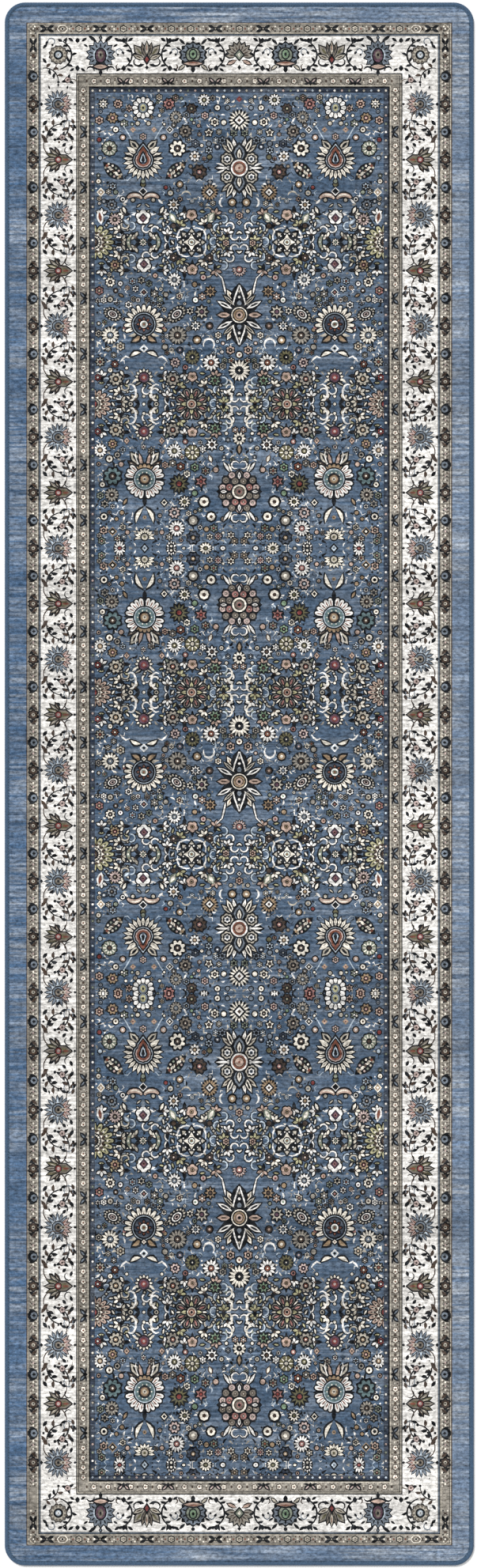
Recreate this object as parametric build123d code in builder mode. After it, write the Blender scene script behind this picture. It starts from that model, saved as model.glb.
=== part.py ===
"""Runner rug: a printed pile cloth bonded to a felt core and a rubber grip backing, overlocked all round.

Millimetres. +X is across the rug, +Y along it and +Z up. The origin is the centre of the underside, so
the rug lies on the plane Z = 0.
"""

from build123d import *
import os

# Driving dimensions
RUG_WIDTH = 600.0
RUG_LENGTH = 2000.0
CORNER_RADIUS = 26.0

# The laminate, from the floor up
BACKING_THICKNESS = 1.0
FELT_THICKNESS = 1.6
LATEX_THICKNESS = 0.2
CLOTH_THICKNESS = 2.2  # base weave and pile together

# The overlocked edge: yarn that wraps over the face, round the side and under the felt
YARN_THICKNESS = 0.8
WRAP_WIDTH = 4.5  # how far the yarn reaches in from the edge, above and below
EDGE_ROUNDING = 0.7
THREAD_WIDTH = 0.6  # the needle thread, along the wrap's inner edge on the face

# Heights, worked out from the layers
FELT_BOTTOM = BACKING_THICKNESS
LATEX_BOTTOM = FELT_BOTTOM + FELT_THICKNESS
CLOTH_BOTTOM = LATEX_BOTTOM + LATEX_THICKNESS
RUG_TOP = CLOTH_BOTTOM + CLOTH_THICKNESS
PRESSED_TOP = RUG_TOP - YARN_THICKNESS  # where the yarn presses the pile down


def rug_outline(inset: float) -> None:
    """Draw the rug's rounded rectangle, taken in by inset on every side."""
    RectangleRounded(RUG_WIDTH - 2 * inset, RUG_LENGTH - 2 * inset, CORNER_RADIUS - inset)


# The non-slip rubber sheet, which ends where the wrapped yarn begins underneath
with BuildPart() as grip_backing:
    with BuildSketch():
        rug_outline(WRAP_WIDTH)
    extrude(amount=BACKING_THICKNESS)

# The needled felt between the backing and the cloth
with BuildPart() as felt_core:
    with BuildSketch(Plane.XY.offset(FELT_BOTTOM)):
        rug_outline(YARN_THICKNESS)
    extrude(amount=FELT_THICKNESS)

# The coat of latex that bonds the cloth to the felt
with BuildPart() as latex_coat:
    with BuildSketch(Plane.XY.offset(LATEX_BOTTOM)):
        rug_outline(YARN_THICKNESS)
    extrude(amount=LATEX_THICKNESS)

# The printed cloth. Its pile is pressed down in a margin under the edge yarn and the needle thread.
with BuildPart() as pile_cloth:
    with BuildSketch(Plane.XY.offset(CLOTH_BOTTOM)):
        rug_outline(YARN_THICKNESS)
    extrude(amount=PRESSED_TOP - CLOTH_BOTTOM)
    with BuildSketch(Plane.XY.offset(PRESSED_TOP)):
        rug_outline(WRAP_WIDTH + THREAD_WIDTH)
    extrude(amount=RUG_TOP - PRESSED_TOP)

# The overlock yarn: a channel that wraps the laminate's edge all the way round
with BuildPart() as edge_yarn:
    with BuildSketch():
        rug_outline(0)
    extrude(amount=RUG_TOP)
    fillet(edge_yarn.faces().filter_by(Axis.Z).edges(), EDGE_ROUNDING)
    with BuildSketch():
        rug_outline(WRAP_WIDTH)
    extrude(amount=RUG_TOP, mode=Mode.SUBTRACT)
    with BuildSketch(Plane.XY.offset(BACKING_THICKNESS)):
        rug_outline(YARN_THICKNESS)
    extrude(amount=PRESSED_TOP - BACKING_THICKNESS, mode=Mode.SUBTRACT)

# The needle thread, which runs along the inner edge of the wrapped yarn on the face
with BuildPart() as needle_thread:
    with BuildSketch(Plane.XY.offset(PRESSED_TOP)):
        rug_outline(WRAP_WIDTH)
    extrude(amount=RUG_TOP - PRESSED_TOP)
    with BuildSketch(Plane.XY.offset(PRESSED_TOP)):
        rug_outline(WRAP_WIDTH + THREAD_WIDTH)
    extrude(amount=RUG_TOP - PRESSED_TOP, mode=Mode.SUBTRACT)

grip_backing.part.label = "grip_backing"
felt_core.part.label = "felt_core"
latex_coat.part.label = "latex_coat"
pile_cloth.part.label = "pile_cloth"
edge_yarn.part.label = "edge_yarn"
needle_thread.part.label = "needle_thread"

os.makedirs("parts", exist_ok=True)
export_step(grip_backing.part, "parts/grip_backing.step")
export_step(felt_core.part, "parts/felt_core.step")
export_step(latex_coat.part, "parts/latex_coat.step")
export_step(pile_cloth.part, "parts/pile_cloth.step")
export_step(edge_yarn.part, "parts/edge_yarn.step")
export_step(needle_thread.part, "parts/needle_thread.step")
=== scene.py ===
"""Looks for the runner rug: its printed pile, its overlocked edge and the layers under it.

The print is drawn in millimetres as flat shapes of one yarn colour each, every shape over the ones
before it. They are then cut against each other into one flat mesh, in which each face has the colour of
the topmost shape. Only the left half is drawn, and the right half is its mirror image.

Two ways of giving a place in the print:
    out   how far to the left of the rug's lengthwise centre line
    down  how far below the top of whatever is being drawn
"""

import math
import random

import bpy
import numpy as np
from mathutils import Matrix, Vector, noise
from mathutils.geometry import delaunay_2d_cdt


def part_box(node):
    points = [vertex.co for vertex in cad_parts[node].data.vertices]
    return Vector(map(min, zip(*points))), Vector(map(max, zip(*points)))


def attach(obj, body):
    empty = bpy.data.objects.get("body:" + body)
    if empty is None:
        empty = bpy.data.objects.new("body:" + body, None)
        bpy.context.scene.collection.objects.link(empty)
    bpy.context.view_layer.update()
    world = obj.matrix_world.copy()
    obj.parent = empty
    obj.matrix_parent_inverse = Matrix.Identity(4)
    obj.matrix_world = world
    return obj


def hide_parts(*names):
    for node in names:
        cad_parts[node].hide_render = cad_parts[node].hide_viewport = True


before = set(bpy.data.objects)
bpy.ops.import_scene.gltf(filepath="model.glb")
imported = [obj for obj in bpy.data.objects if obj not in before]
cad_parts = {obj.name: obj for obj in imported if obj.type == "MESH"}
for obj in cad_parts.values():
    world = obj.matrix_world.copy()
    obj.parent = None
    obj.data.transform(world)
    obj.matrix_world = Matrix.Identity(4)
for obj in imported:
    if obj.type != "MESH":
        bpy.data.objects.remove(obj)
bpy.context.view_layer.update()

MM = 0.001
FULL_TURN = 2 * math.pi
QUARTER_TURN = math.pi / 2

# The rug's own sizes, in millimetres, from the frame
_, EDGE_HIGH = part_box("edge_yarn")
CLOTH_LOW, CLOTH_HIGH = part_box("pile_cloth")
LATEX_LOW, LATEX_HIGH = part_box("latex_coat")
FELT_LOW, FELT_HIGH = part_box("felt_core")
_, BACKING_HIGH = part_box("grip_backing")
THREAD_LOW, THREAD_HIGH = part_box("needle_thread")
HALF_WIDTH = EDGE_HIGH[0] / MM
HALF_LENGTH = EDGE_HIGH[1] / MM
TOP = CLOTH_HIGH[2] / MM
PRESSED_TOP = THREAD_LOW[2] / MM  # the cloth's top where the edge yarn presses the pile down
CORNER = 26.0  # the radius of the rug's corners
CLOTH_INSET = HALF_WIDTH - CLOTH_HIGH[0] / MM
WRAP_INSET = HALF_WIDTH - THREAD_HIGH[0] / MM

# ---------------------------------------------------------------- yarn colours, as sRGB out of 255

YARNS = {
    "band": (69, 96, 127),
    "denim": (63, 84, 107),
    "ink": (10, 11, 14),
    "navy": (33, 43, 60),
    "ivory": (232, 229, 224),
    "cream": (232, 225, 211),
    "oat": (143, 137, 127),
    "sand": (181, 174, 160),
    "taupe": (116, 108, 98),
    "umber": (70, 56, 46),
    "olive": (98, 94, 68),
    "lime": (170, 166, 130),
    "sage": (126, 133, 118),
    "green": (118, 140, 114),
    "ochre": (150, 128, 102),
    "peach": (180, 156, 142),
    "blush": (184, 164, 158),
    "pink": (152, 108, 102),
    "red": (122, 58, 54),
    "rust": (116, 70, 54),
    "plum": (88, 62, 74),
    "slate": (112, 121, 131),
    "teal": (92, 112, 114),
    "pale": (176, 188, 198),
    # rim: a darker blue than the band, painted shade in the groove where the pile rises from the edge yarn;
    # it also colours the cloth's hidden walls
    "rim": (66, 90, 114),
    "back": (150, 144, 132),
}
BARENESS = {"band": 1.0, "denim": 0.5, "navy": 0.4}  # how far a yarn shows wear and fading; others 0


def linear(colour):
    """An sRGB colour out of 255 as linear numbers from 0 to 1."""
    shares = (channel / 255 for channel in colour)
    return [s / 12.92 if s <= 0.04045 else ((s + 0.055) / 1.055) ** 2.4 for s in shares]


# ---------------------------------------------------------------- outlines, in millimetres


def polar(radius, angle, tall=1.0):
    return (radius * math.cos(angle), tall * radius * math.sin(angle))


def circle(radius, count, at=(0.0, 0.0), tall=1.0):
    """A round outline, tall times as high as it is wide."""
    points = (polar(radius, FULL_TURN * i / count, tall) for i in range(count))
    return [(at[0] + x, at[1] + y) for x, y in points]


def lobed(radius, notch, lobes, per_lobe, turn=0.0, tall=1.0):
    """A flower outline, whose radius falls to notch times itself between its round lobes."""
    points = []
    for i in range(lobes * per_lobe):
        angle = FULL_TURN * i / (lobes * per_lobe)
        swell = abs(math.sin(lobes * angle / 2)) ** 0.6
        points.append(polar(radius * (notch + (1 - notch) * swell), angle + turn, tall))
    return points


def star(radius, inner, tips, turn=QUARTER_TURN, tall=1.0):
    points = []
    for i in range(2 * tips):
        reach = inner if i % 2 else radius
        points.append(polar(reach, turn + FULL_TURN * i / (2 * tips), tall))
    return points


def rhombus(wide, tall, at=(0.0, 0.0)):
    x, y = at
    return [(x + wide / 2, y), (x, y + tall / 2), (x - wide / 2, y), (x, y - tall / 2)]


def leaf(start, end, width, steps=4, bend=0.0):
    """A pointed oval between two points, bowed sideways by bend."""
    dx, dy = end[0] - start[0], end[1] - start[1]
    length = math.hypot(dx, dy) or 1.0
    nx, ny = -dy / length, dx / length
    one_side, other_side = [], []
    for i in range(1, steps):
        t = i / steps
        swell = math.sin(math.pi * t)
        x, y = start[0] + dx * t + nx * bend * swell, start[1] + dy * t + ny * bend * swell
        half = width / 2 * swell
        one_side.append((x + nx * half, y + ny * half))
        other_side.append((x - nx * half, y - ny * half))
    return [start] + one_side + [end] + other_side[::-1]


def petal(angle, inner, outer, width, tall):
    """A petal with a round end, which points out from (0, 0) at the angle."""
    sides = ((inner, 0.22), (inner + (outer - inner) * 0.62, 0.5), (outer - width * 0.16, 0.34))
    profile = [(far, -share) for far, share in sides] + [(outer, 0.0)]
    profile += [(far, share) for far, share in reversed(sides)]
    c, s = math.cos(angle), math.sin(angle)
    return [(far * c - share * width * s, tall * (far * s + share * width * c)) for far, share in profile]


def ribbon(points, width, taper=0.35):
    """A line of the given width along the points, which narrows to taper times that at its ends."""
    left, right = [], []
    last = len(points) - 1
    for i, (x, y) in enumerate(points):
        ahead, behind = points[min(i + 1, last)], points[max(i - 1, 0)]
        dx, dy = ahead[0] - behind[0], ahead[1] - behind[1]
        length = math.hypot(dx, dy) or 1.0
        share = taper + (1 - taper) * math.sin(math.pi * i / last)
        nx, ny = -dy / length * width / 2 * share, dx / length * width / 2 * share
        left.append((x + nx, y + ny))
        right.append((x - nx, y - ny))
    return left + right[::-1]


def arc(at, radius, start, end, count, tall=1.0):
    """Points along an arc; start and end are in degrees."""
    points = []
    for i in range(count):
        angle = math.radians(start + (end - start) * i / (count - 1))
        x, y = polar(radius, angle, tall)
        points.append((at[0] + x, at[1] + y))
    return points


# ---------------------------------------------------------------- moving motifs about

# A motif is a list of (yarn, outline), drawn in that order round (0, 0), with +y up the rug.


def moved(motif, x=0.0, y=0.0, turn=0.0, grow=1.0, flip_x=False, flip_y=False):
    """The motif flipped, turned by that many degrees, grown and then moved."""
    c, s = math.cos(math.radians(turn)), math.sin(math.radians(turn))
    fx, fy = (-grow if flip_x else grow), (-grow if flip_y else grow)
    shapes = []
    for yarn, points in motif:
        placed = [(x + c * px * fx - s * py * fy, y + s * px * fx + c * py * fy) for px, py in points]
        shapes.append((yarn, placed))
    return shapes


def both_sides(motif):
    """The motif and its mirror image across its own upright line."""
    return motif + moved(motif, flip_x=True)


# ---------------------------------------------------------------- small motifs; size is across


def bead(size, yarn):
    return [("ink", circle(size / 2, 7)), (yarn, circle(size / 2 * 0.72, 7))]


def eye(size, ring, core):
    return [("ink", circle(size * 0.56, 8)), (ring, circle(size * 0.40, 8)), (core, circle(size * 0.19, 5))]


def gem(wide, tall, outer, middle, core):
    return [
        (outer, rhombus(wide, tall)),
        (middle, rhombus(wide * 0.68, tall * 0.68)),
        (core, rhombus(wide * 0.32, tall * 0.32)),
    ]


def petals(count, inner, outer, width, yarn, start=0.0, spread=FULL_TURN, tall=1.0, blunt=False):
    """Petals from inner to outer, over an arc that begins at start and is spread long."""
    step = spread / (count if spread == FULL_TURN else count - 1)
    shapes = []
    for i in range(count):
        angle = start + step * i
        if blunt:
            shapes.append((yarn, petal(angle, inner, outer, width, tall)))
        else:
            shapes.append((yarn, leaf(polar(inner, angle, tall), polar(outer, angle, tall), width, 3)))
    return shapes


def fan(count, start, spread, *layers, tall=1.0, blunt=False):
    """Layers of petals over one arc, which is in degrees; a layer is its inner, outer, width and yarn."""
    shapes = []
    for layer in layers:
        shapes += petals(count, *layer, math.radians(start), math.radians(spread), tall, blunt)
    return shapes


def rose(size, petal_yarn, core, lobes):
    """A flower of round petals with a dark edge, a ring and a core."""
    radius = size / 2
    return [
        ("ink", lobed(radius * 1.14, 0.80, lobes, 2)),
        (petal_yarn, lobed(radius * 0.92, 0.66, lobes, 3)),
        ("ink", circle(radius * 0.44, 7)),
        (core, circle(radius * 0.30, 5)),
        ("cream", circle(radius * 0.13, 4)),
    ]


def daisy(size, petal_yarn, core, count, tall=1.0):
    """A flower of separate narrow petals on a dark ground."""
    radius = size / 2
    width = FULL_TURN * radius * 0.56 / count
    shapes = [("ink", circle(radius * 0.98, 12, tall=tall))]
    shapes += petals(count, radius * 0.26, radius, width, petal_yarn, tall=tall)
    shapes += [("ink", circle(radius * 0.38, 9)), (core, circle(radius * 0.30, 7))]
    return shapes + [("cream", circle(radius * 0.12, 4))]


def spark(size, petal_yarn, core, tips):
    """A pointed star with a dark edge and a round core."""
    radius = size / 2
    return [
        ("ink", star(radius * 1.06, radius * 0.78, tips)),
        (petal_yarn, star(radius * 0.90, radius * 0.44, tips)),
        ("ink", circle(radius * 0.34, 7)),
        (core, circle(radius * 0.24, 6)),
    ]


def leaf_pair(length, width, outer, inner, turn):
    """One leaf with a lighter middle, pointing up."""
    shapes = [
        (outer, leaf((0, -length / 2), (0, length / 2), width)),
        (inner, leaf((0, -length * 0.34), (0, length * 0.36), width * 0.5)),
    ]
    return moved(shapes, turn=turn)


def spray(turn):
    """A short bough of cream lumps in a dark outline."""
    shapes = [("ink", leaf((-17, 0), (17, 0), 17, 6))]
    for along, off, middle, outer in (
        (-10.5, 3.2, "rust", "sand"),
        (-5.2, 4.6, "sand", "cream"),
        (0, 5.0, "umber", "sage"),
        (5.2, 4.6, "cream", "blush"),
        (10.5, 3.2, "ochre", "sand"),
    ):
        shapes.append((middle, circle(2.1, 6, (along, 0))))
        shapes += [(outer, circle(1.6, 5, (along, -off))), (outer, circle(1.6, 5, (along, off)))]
    for along in (-7.8, -2.6, 2.6, 7.8):
        shapes.append(("cream", leaf((along - 1.2, -2.2), (along + 1.2, 2.2), 1.3)))
    return moved(shapes, turn=turn)


def fan_daisy(size):
    """A round fan of blunt white petals, each with a dark edge, on an oval eye."""
    radius = size / 2
    shapes = petals(12, radius * 0.3, radius * 1.06, radius * 0.62, "ink", blunt=True)
    shapes += petals(12, radius * 0.5, radius * 0.98, radius * 0.36, "ivory", blunt=True)
    shapes += [("ink", circle(radius * 0.50, 10)), ("slate", circle(radius * 0.40, 9, tall=1.2))]
    return shapes + [("lime", circle(radius * 0.26, 7, tall=1.3)), ("ink", circle(radius * 0.10, 4))]


def tripod():
    """A five-sided peach flower on three dark leaves."""
    leaves = [("ink", leaf((0, -2), (0, -13), 3.4))]
    leaves += both_sides([("ink", leaf((2, -2), (12, -9), 4.4, bend=-1.5))])
    leaves += both_sides([("sand", leaf((4, -4), (10, -8), 1.4, bend=-1.0))])
    return leaves + [
        ("ink", lobed(8, 0.84, 5, 4, QUARTER_TURN)),
        ("peach", lobed(6.8, 0.78, 5, 4, QUARTER_TURN)),
        ("umber", circle(3.0, 9)),
        ("ochre", circle(2.0, 8)),
        ("ink", circle(0.9, 5)),
    ]


def bud():
    """A pentagonal bud: side petals and dark leaves over a white shield with a plum gem."""
    shapes = both_sides([("ink", leaf((1, 2), (9, 10), 5)), ("cream", leaf((2, 3), (8, 9), 2.2))])
    shapes += both_sides([("ivory", leaf((4, 2), (15, 3), 4, bend=1.5))])
    shapes += [
        ("ink", lobed(10.5, 0.82, 5, 4, -QUARTER_TURN)),
        ("ivory", lobed(9.2, 0.80, 5, 4, -QUARTER_TURN)),
        ("ink", rhombus(11, 12, (0, -1))),
        ("plum", rhombus(9, 10, (0, -1))),
        ("pink", rhombus(4.5, 5, (0, -1))),
        ("ink", rhombus(1.8, 2, (0, -1))),
        ("slate", circle(2.6, 8, (0, 11))),
    ]
    return shapes


def moustache():
    """Two facing scrolls under a gem."""
    half = [
        ("ink", ribbon(arc((11, -6), 10, 165, 20, 8, 0.75), 8.5, 0.5)),
        ("peach", ribbon(arc((11, -6), 10, 160, 28, 8, 0.75), 5.0, 0.5)),
        ("cream", ribbon(arc((11, -6), 10.6, 150, 60, 6, 0.75), 1.8)),
        ("ink", circle(3.4, 8, (13, -5))),
        ("sand", circle(2.2, 7, (13, -5))),
        ("ivory", leaf((19, -4), (25, -10), 3.0)),
        ("slate", circle(2.2, 7, (0, -12))),
        ("ink", leaf((2, -9), (9, -15), 4)),
        ("sand", leaf((3, -10), (8, -14), 1.8)),
    ]
    return both_sides(half)


def crescent():
    """A tall dark crescent with a sage edge and cream beads, its back towards +x."""
    spine = arc((-5, 0), 9, 75, -75, 7, 1.25)
    shapes = [("ink", ribbon(spine, 7.0, 0.4)), ("sage", ribbon(spine[1:-1], 4.2, 0.4))]
    shapes += [("cream", circle(1.3, 6, spine[i])) for i in (1, 3, 5)]
    return shapes + [("ochre", circle(1.0, 5, spine[i])) for i in (2, 4)]


def half_palm(yarn_out, yarn_in, core):
    """A speckled fan that opens towards +x, for the field's side edges."""
    shapes = fan(9, -90, 180, (6, 27, 9.0, "ink"), (8, 25.4, 6.2, yarn_out), tall=0.86, blunt=True)
    shapes += fan(9, -90, 180, (10, 22, 2.4, "ink"), tall=0.86)
    shapes += [("umber", circle(14, 16)), ("cream", star(13.4, 9.6, 12)), ("ink", circle(9.4, 13))]
    shapes += [(yarn_in, circle(1.3, 5, at)) for at in arc((0, 0), 7.2, -80, 80, 8)]
    shapes += [(yarn_in, circle(1.5, 5, at)) for at in arc((0, 0), 17.5, -90, 90, 9, 0.86)]
    return shapes + [(core, circle(4.4, 9)), ("cream", circle(1.8, 6))]


def scroll_knot():
    """A dark knot with a white scroll arm above and below it."""
    shapes = []
    for side in (1, -1):
        arm = arc((0, side * 15), 7, -side * 90, side * 120, 7, 1.5)
        shapes.append(("ivory", ribbon(arm, 2.6)))
        shapes.append(("cream", leaf((2, side * 27), (9, side * 33), 3)))
    return shapes + [("ink", circle(3.8, 9)), ("sand", circle(2.6, 8)), ("ink", circle(1.1, 6))]


def oval_bloom(long, short, turn):
    """An oval ring of dark petals with cream dashes round a white ring."""
    tall = short / long
    shapes = petals(14, long * 0.3, long * 0.58, long * 0.22, "ink", tall=tall)
    shapes += petals(14, long * 0.34, long * 0.52, long * 0.10, "sand", 0.1, tall=tall)
    rings = ((0.38, "ink"), (0.29, "ivory"), (0.20, "ink"), (0.14, "blush"), (0.06, "ink"))
    shapes += [(yarn, circle(long * share, 10, tall=tall)) for share, yarn in rings]
    return moved(shapes, turn=turn)


# ---------------------------------------------------------------- large motifs


def discs(*rings):
    """Round rings on top of each other, as (radius, yarn)."""
    return [(yarn, circle(radius, max(8, int(radius * 1.2) + 6))) for radius, yarn in rings]


def edged_leaf(start, end, width, yarn, core=None):
    """A leaf in a dark outline, with a darker or lighter rib when core is given."""
    dx, dy = end[0] - start[0], end[1] - start[1]
    length = math.hypot(dx, dy)
    ux, uy = dx / length, dy / length
    tip = (end[0] + 2.2 * ux, end[1] + 2.2 * uy)
    shapes = [
        ("ink", leaf((start[0] - ux, start[1] - uy), tip, width + 3.2, 3)),
        (yarn, leaf(start, end, width, 3)),
    ]
    if core:
        near = (start[0] + 0.25 * dx, start[1] + 0.25 * dy)
        far = (start[0] + 0.8 * dx, start[1] + 0.8 * dy)
        shapes.append((core, leaf(near, far, width * 0.36, 3)))
    return shapes


def rosette_medallion():
    """The first medallion: four scalloped rosettes and two forked leaves round a rust disc."""
    upper = edged_leaf((4, 19), (8, 38), 5, "ivory", "sand")
    upper += edged_leaf((8, 18), (22, 30), 5.4, "sand", "umber")
    upper += edged_leaf((7, 18), (16, 37), 6, "cream", "ink")
    rosette = [("ink", lobed(9.6, 0.86, 7, 3)), ("sand", lobed(7.8, 0.82, 7, 3)), ("ink", circle(5.4, 8))]
    rosette += [("ivory", lobed(4.4, 0.7, 6, 2)), ("slate", circle(2.4, 7)), ("ink", circle(1.0, 5))]
    shapes = upright(both_sides(upper))
    shapes += both_sides([("ink", leaf((9, 0), (32, 0), 13, 3))])
    for tip in (6.4, 0, -6.4):
        shapes += both_sides([("ivory", leaf((12, tip * 0.2), (30, tip), 3.0, 3))])
    ogive = [("ink", leaf((0, 6), (0, 33), 20)), ("slate", leaf((0, 8), (0, 30), 14))]
    ogive += [
        ("ink", leaf((0, 10), (0, 26), 9)),
        ("cream", leaf((0, 11), (0, 24), 5.4)),
        ("umber", leaf((0, 12), (0, 20), 2)),
    ]
    shapes += upright(ogive) + upright(both_sides(moved(rosette, 15.4, 11.4)))
    return shapes + discs(
        (12.2, "ink"), (10.8, "ivory"), (8.8, "rust"), (6.6, "umber"), (5.4, "peach"), (1.6, "rust")
    )


def dark_star_medallion():
    """The second medallion: a black star with white-edged arrows and two tall dark arches."""
    shapes = [("ink", star(25, 15, 8, QUARTER_TURN / 4 + QUARTER_TURN))]
    quarter = edged_leaf((8, 18), (15.6, 32), 6, "cream", "ochre")
    quarter += edged_leaf((9, 8), (28, 17.6), 6, "ivory", "ink")
    quarter += edged_leaf((6, 12), (20, 25), 4, "sand", "ink")
    arch = [("ink", leaf((0, 8), (0, 41), 22))]
    arch += both_sides([("ivory", ribbon([(8, 13), (6, 22), (2.6, 31), (0.4, 38)], 2.0, 0.6))])
    arch += [
        ("ivory", circle(1.8, 6, (0, 23))),
        ("sand", rhombus(3, 4, (0, 30))),
        ("slate", leaf((0, 11), (0, 19), 6)),
    ]
    shapes += upright(both_sides(quarter)) + upright(arch)
    shapes += both_sides(edged_leaf((11, 0), (28, 0), 7, "peach", "umber"))
    return shapes + discs(
        (12, "ink"),
        (10.2, "cream"),
        (8.4, "ink"),
        (7.4, "ochre"),
        (5.4, "umber"),
        (4.4, "peach"),
        (1.6, "ink"),
    )


def cluster_medallion():
    """The last medallion: clusters of round dusky petals, with white scrolls above and below."""
    shapes = [("ink", lobed(28, 0.88, 14, 2, tall=1.04)), ("ink", star(29, 22, 8))]
    curls = [
        ("ink", ribbon(arc((5, 34), 5, -120, 150, 7), 4.4)),
        ("ivory", ribbon(arc((5, 34), 5, -120, 150, 7), 2.0)),
    ]
    curls += [
        ("ink", leaf((10, 23), (21, 39), 7)),
        ("ivory", leaf((12, 25), (20.4, 38), 3.2)),
        ("cream", leaf((9, 24), (14, 36), 2.4)),
    ]
    shapes += upright(both_sides(curls))
    for count, far, size, yarns in ((14, 21.8, 4.1, ("blush", "taupe")), (8, 13.6, 4.3, ("taupe", "pink"))):
        for i in range(count):
            x, y = polar(far, FULL_TURN * (i + 0.5) / count, 1.06)
            shapes += [("ink", circle(size + 0.9, 8, (x, y))), (yarns[i % 2], circle(size, 8, (x, y)))]
            shapes += [("umber", circle(size * 0.45, 5, (x, y))), ("cream", circle(size * 0.2, 4, (x, y)))]
    shapes += upright(edged_leaf((0, 16), (0, 25), 4, "ivory", "umber"))
    shapes += both_sides(edged_leaf((16, 0), (24, 0), 4, "ivory", "umber"))
    return shapes + discs(
        (10.6, "ink"), (9.2, "cream"), (7.0, "umber"), (5.4, "taupe"), (3.4, "pink"), (1.4, "ink")
    )


def palmette_flame():
    """The first large palmette: an arched red core in rays of cream, with two small horn leaves above."""
    shapes = both_sides([("pale", ribbon([(14, 25), (18, 32), (22, 39), (27, 46)], 1.5, 0.7))])
    shapes += both_sides([("ink", circle(2.4, 6, (27, 46))), ("cream", circle(1.5, 6, (27, 46)))])
    shapes += fan(17, -218, 256, (8, 27.0, 7.2, "ink"), (8, 25.4, 4.8, "cream"))
    shapes += fan(16, -210, 240, (8, 20.0, 2.0, "ink")) + fan(17, -218, 256, (13, 22.0, 1.2, "oat"))
    horn = edged_leaf((5, 13), (17, 25), 8, "sand", "ink") + [("cream", leaf((9, 11), (21, 17), 4.4, 3))]
    horn += [
        ("ink", leaf((12, 3.5), (24, 6), 3.4, 3)), ("ink", ribbon([(19, -19), (23, -22), (22, -26)], 1.6))
    ]
    horn += [("pale", ribbon([(16, -22), (20, -26), (24, -25)], 1.4))]
    shapes += both_sides(horn)
    for yarn, radius, high in (
        ("ink", 14.2, 24), ("pale", 12.4, 21), ("ink", 11.2, 19), ("blush", 9.8, 17),
        ("rust", 8.4, 17.6), ("ink", 5.2, 12), ("pale", 3.8, 9), ("ink", 1.8, 6),
    ):
        shapes += [
            (yarn, circle(radius, 12, tall=0.95)), (yarn, leaf((0, -radius), (0, high), radius * 1.5))
        ]
    shapes += [("navy", circle(2.2, 6, (0, -3.4)))]
    return shapes + [("ink", circle(3.4, 7, (0, -27))), ("sage", circle(2.4, 7, (0, -27)))]


def palmette_fan():
    """The second large palmette: a cream fan over a dark horseshoe, round a red flower."""
    shapes = both_sides([("ink", leaf((12, -4), (27, -5), 7)), ("pink", circle(2.2, 7, (25, -4)))])
    shapes += fan(13, -22, 224, (8, 26.4, 7.4, "ink"), (8, 25.0, 4.8, "cream"), blunt=True)
    shapes += fan(13, -22, 224, (12, 19.6, 1.8, "umber"))
    half = [
        ("ink", leaf((3, -10), (17, -24), 11, bend=-2)),
        ("ochre", leaf((5, -13), (15, -22), 5.0, bend=-2)),
        ("sand", leaf((8, -9), (20, -15), 4, bend=-2)),
    ]
    shapes += both_sides(half)
    shapes += discs((16.0, "ink"), (14.6, "pale"), (13.4, "ink"), (11.8, "navy"))
    shapes += fan(8, 0, 360, (3, 10.4, 4.6, "ink"), (3, 9.2, 2.8, "rust"))
    shapes += discs((5.8, "ink"), (4.8, "ivory"), (3.2, "sage"), (1.6, "rust"))
    shapes += [
        ("ink", rhombus(10, 9, (0, -17))),
        ("cream", rhombus(6, 5.6, (0, -17))),
        ("rust", rhombus(2.4, 2.4, (0, -17))),
    ]
    return shapes


def palmette_orb():
    """The third large palmette: a teal disc with a gold bead, over white petals, under dark wings."""
    wing = edged_leaf((4, 20), (18, 37), 10, "sand", "ink") + edged_leaf((3, 18), (7, 36), 4, "peach")
    wing += edged_leaf((8, 16), (21, 26), 5, "umber", "cream")
    wing += [
        ("ivory", ribbon([(4, 16), (9, 24), (12, 33), (11, 38)], 1.5)), ("ink", leaf((13, 2), (27, 2), 4))
    ]
    orb = fan(5, 55, 70, (8, 21, 8.0, "ink"), (10, 19.4, 4.6, "ochre"), blunt=True)
    for start, spread, count in ((12, 32, 3), (136, 32, 3), (-166, 64, 5), (-78, 64, 5)):
        orb += fan(count, start, spread, (10, 26.4, 8.4, "ink"), (13, 25.0, 5.4, "ivory"), blunt=True)
        orb += fan(count, start, spread, (14, 23, 1.7, "rust"))
    orb += discs((14.6, "ink"), (13.4, "pale"), (12.4, "teal"), (7.4, "ink"))
    orb += [("cream", circle(1.0, 4, at)) for at in arc((0, 0), 8.8, 0, 324, 10)]
    orb += discs((6.2, "umber"), (5.0, "ochre"), (2.8, "sand"), (1.2, "umber"))
    return both_sides(wing) + moved(orb, y=3) + [("ink", leaf((0, -18), (0, -32), 5))]


def star_medallion():
    """A cream star in a beaded dark wreath, with plum corners and white arcs."""
    corner = [("ivory", ribbon(arc((0, 9), 12, 25, 155, 7), 2.2))]
    corner += [("ink", leaf((0, 7), (0, 21), 9)), ("plum", leaf((0, 10), (0, 18), 4))]
    shapes = []
    for turn in (45, 135, 225, 315):
        shapes += moved(corner, turn=turn)
    shapes += [
        ("ink", star(19.5, 13.5, 8)), ("sand", star(17.0, 11.8, 8)), ("ink", lobed(13.4, 0.88, 8, 3))
    ]
    shapes += [("ivory", circle(1.1, 5, at)) for at in arc((0, 0), 11.0, 15, 345, 12)]
    shapes += [("cream", star(10.5, 5.4, 4)), ("ink", circle(4.4, 9))]
    return shapes + discs((3.6, "ivory"), (2.4, "green"), (1.2, "red"))


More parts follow.
